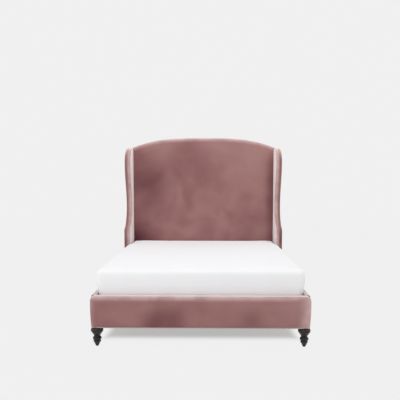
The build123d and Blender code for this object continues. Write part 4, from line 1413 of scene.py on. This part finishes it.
class BED_OT_set_stage(Operator):
    """Lays the floor, hangs the lights and sets up the camera"""

    bl_idname = "bed.set_stage"
    bl_label = "Set stage"

    def execute(self, context):
        scene, look = context.scene, context.scene.bed_stage
        scene.view_settings.view_transform = "Standard"
        lens = FOCAL_PIXELS * SENSOR_WIDTH / PHOTO_WIDTH
        shift = HORIZON_SHIFT_PIXELS / PHOTO_WIDTH
        camera = adjust(bpy.data.cameras.new("camera"), sensor_width=SENSOR_WIDTH, lens=lens, shift_y=shift)
        turned = (math.pi / 2 - CAMERA_PITCH, 0, CAMERA_YAW)
        scene.camera = adjust(add_object("camera", camera), location=CAMERA_PLACE, rotation_euler=turned)
        scene.world = adjust(bpy.data.worlds.new("studio"), use_nodes=True)
        sky = Tree(scene.world.node_tree)
        light = sky.node("ShaderNodeBackground", {"Color": (1, 1, 1, 1), "Strength": look.fill})
        paper = sky.node("ShaderNodeBackground", {"Color": linear(look.background)})
        mixed = sky.node("ShaderNodeMixShader", {0: sky.seen(), 1: light, 2: paper})
        sky.node("ShaderNodeOutputWorld", {"Surface": mixed})
        self.lay_floor(look)
        powers = {"key": look.key, "top": look.key * TOP_SHARE, "left": look.side, "right": look.side}
        for name, (place, target, size) in LAMPS.items():
            self.hang_light(name, place, target, size, powers[name])
        return {"FINISHED"}

    def lay_floor(self, look):
        """Paper floor that goes over into the plain background away from the bed, with painted shade under
        the bed.
        """
        shape = bmesh.new()
        bmesh.ops.create_circle(shape, cap_ends=True, segments=96, radius=FLOOR_RADIUS)
        floor = add_piece("paper_floor", shape)
        finish = Finish("paper")
        tint = finish.mix(look.background, (0.9, 0.9, 0.9), finish.noise(60.0), 0.3, 0.7, 0.0, 0.02)
        paper = finish.node("ShaderNodeBsdfDiffuse", {"Color": tint})
        aside = finish.maths("ABSOLUTE", finish.axis(finish.place, "X"))
        along = finish.axis(finish.place, "Y")
        across = finish.ramp(aside, SHADOW_HALF, SHADOW_HALF + SHADOW_FADE)
        ahead = finish.ramp(along, SHADOW_FRONT - SHADOW_FADE, SHADOW_FRONT + SHADOW_FADE, 1.0, 0.0)
        behind = finish.ramp(along, cover_high.y - SHADOW_FADE, cover_high.y + SHADOW_FADE)
        outside = finish.maths("MAXIMUM", across, ahead, behind)
        # Painted shadow: the plain colour darkens under the bed
        shaded = finish.mix([SHADOW_DEPTH] * 3, look.background, outside)
        plain = finish.node("ShaderNodeEmission", {"Color": shaded})
        share = finish.seen() * finish.ramp(outside, 0.0, 1.0, 0.75, 0.985)
        coat(floor, finish.close(finish.node("ShaderNodeMixShader", {0: share, 1: paper, 2: plain})))

    def hang_light(self, name, place, target, size, power):
        """A large soft lamp that faces a point."""
        lamp = adjust(bpy.data.lights.new(name, "AREA"), shape="SQUARE", size=size, energy=power)
        turned = (Vector(target) - Vector(place)).to_track_quat("-Z", "Y").to_euler()
        adjust(add_object(name, lamp), location=place, rotation_euler=turned)


class BED_PT_sidebar(Panel):
    """Steps of dressing the bed, in the 3D view's sidebar"""

    bl_label = "Winged Bed"
    bl_idname = "BED_PT_sidebar"
    bl_space_type = "VIEW_3D"
    bl_region_type = "UI"
    bl_category = "Bed"

    def draw(self, context):
        for settings in SETTINGS:
            box = self.layout.box()
            group = getattr(context.scene, settings)
            for name in group.bl_rna.properties.keys():
                if name not in ("rna_type", "name"):
                    box.prop(group, name)
        for step in STEPS:
            self.layout.operator(step.bl_idname)


SETTINGS = {"bed_velvet": BedVelvet, "bed_linen": BedLinen, "bed_timber": BedTimber, "bed_stage": BedStage}
STEPS = (
    BED_OT_set_stage,
    BED_OT_pad_headboard,
    BED_OT_cover_wings,
    BED_OT_cover_foot,
    BED_OT_cover_rails,
    BED_OT_cover_back,
    BED_OT_dress_mattress,
    BED_OT_finish_timber,
    BED_OT_add_fixings,
)


def register():
    """Makes the settings, steps and sidebar known to Blender."""
    for name, group in SETTINGS.items():
        bpy.utils.register_class(group)
        setattr(bpy.types.Scene, name, PointerProperty(type=group))
    for step in (*STEPS, BED_PT_sidebar):
        bpy.utils.register_class(step)


def unregister():
    """Takes away what register added."""
    for step in (BED_PT_sidebar, *reversed(STEPS)):
        bpy.utils.unregister_class(step)
    for name, group in SETTINGS.items():
        delattr(bpy.types.Scene, name)
        bpy.utils.unregister_class(group)


def main():
    """Dresses the whole bed."""
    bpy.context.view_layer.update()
    register()
    for step in STEPS:
        family, name = step.bl_idname.split(".")
        getattr(getattr(bpy.ops, family), name)()


if __name__ == "__main__":
    main()
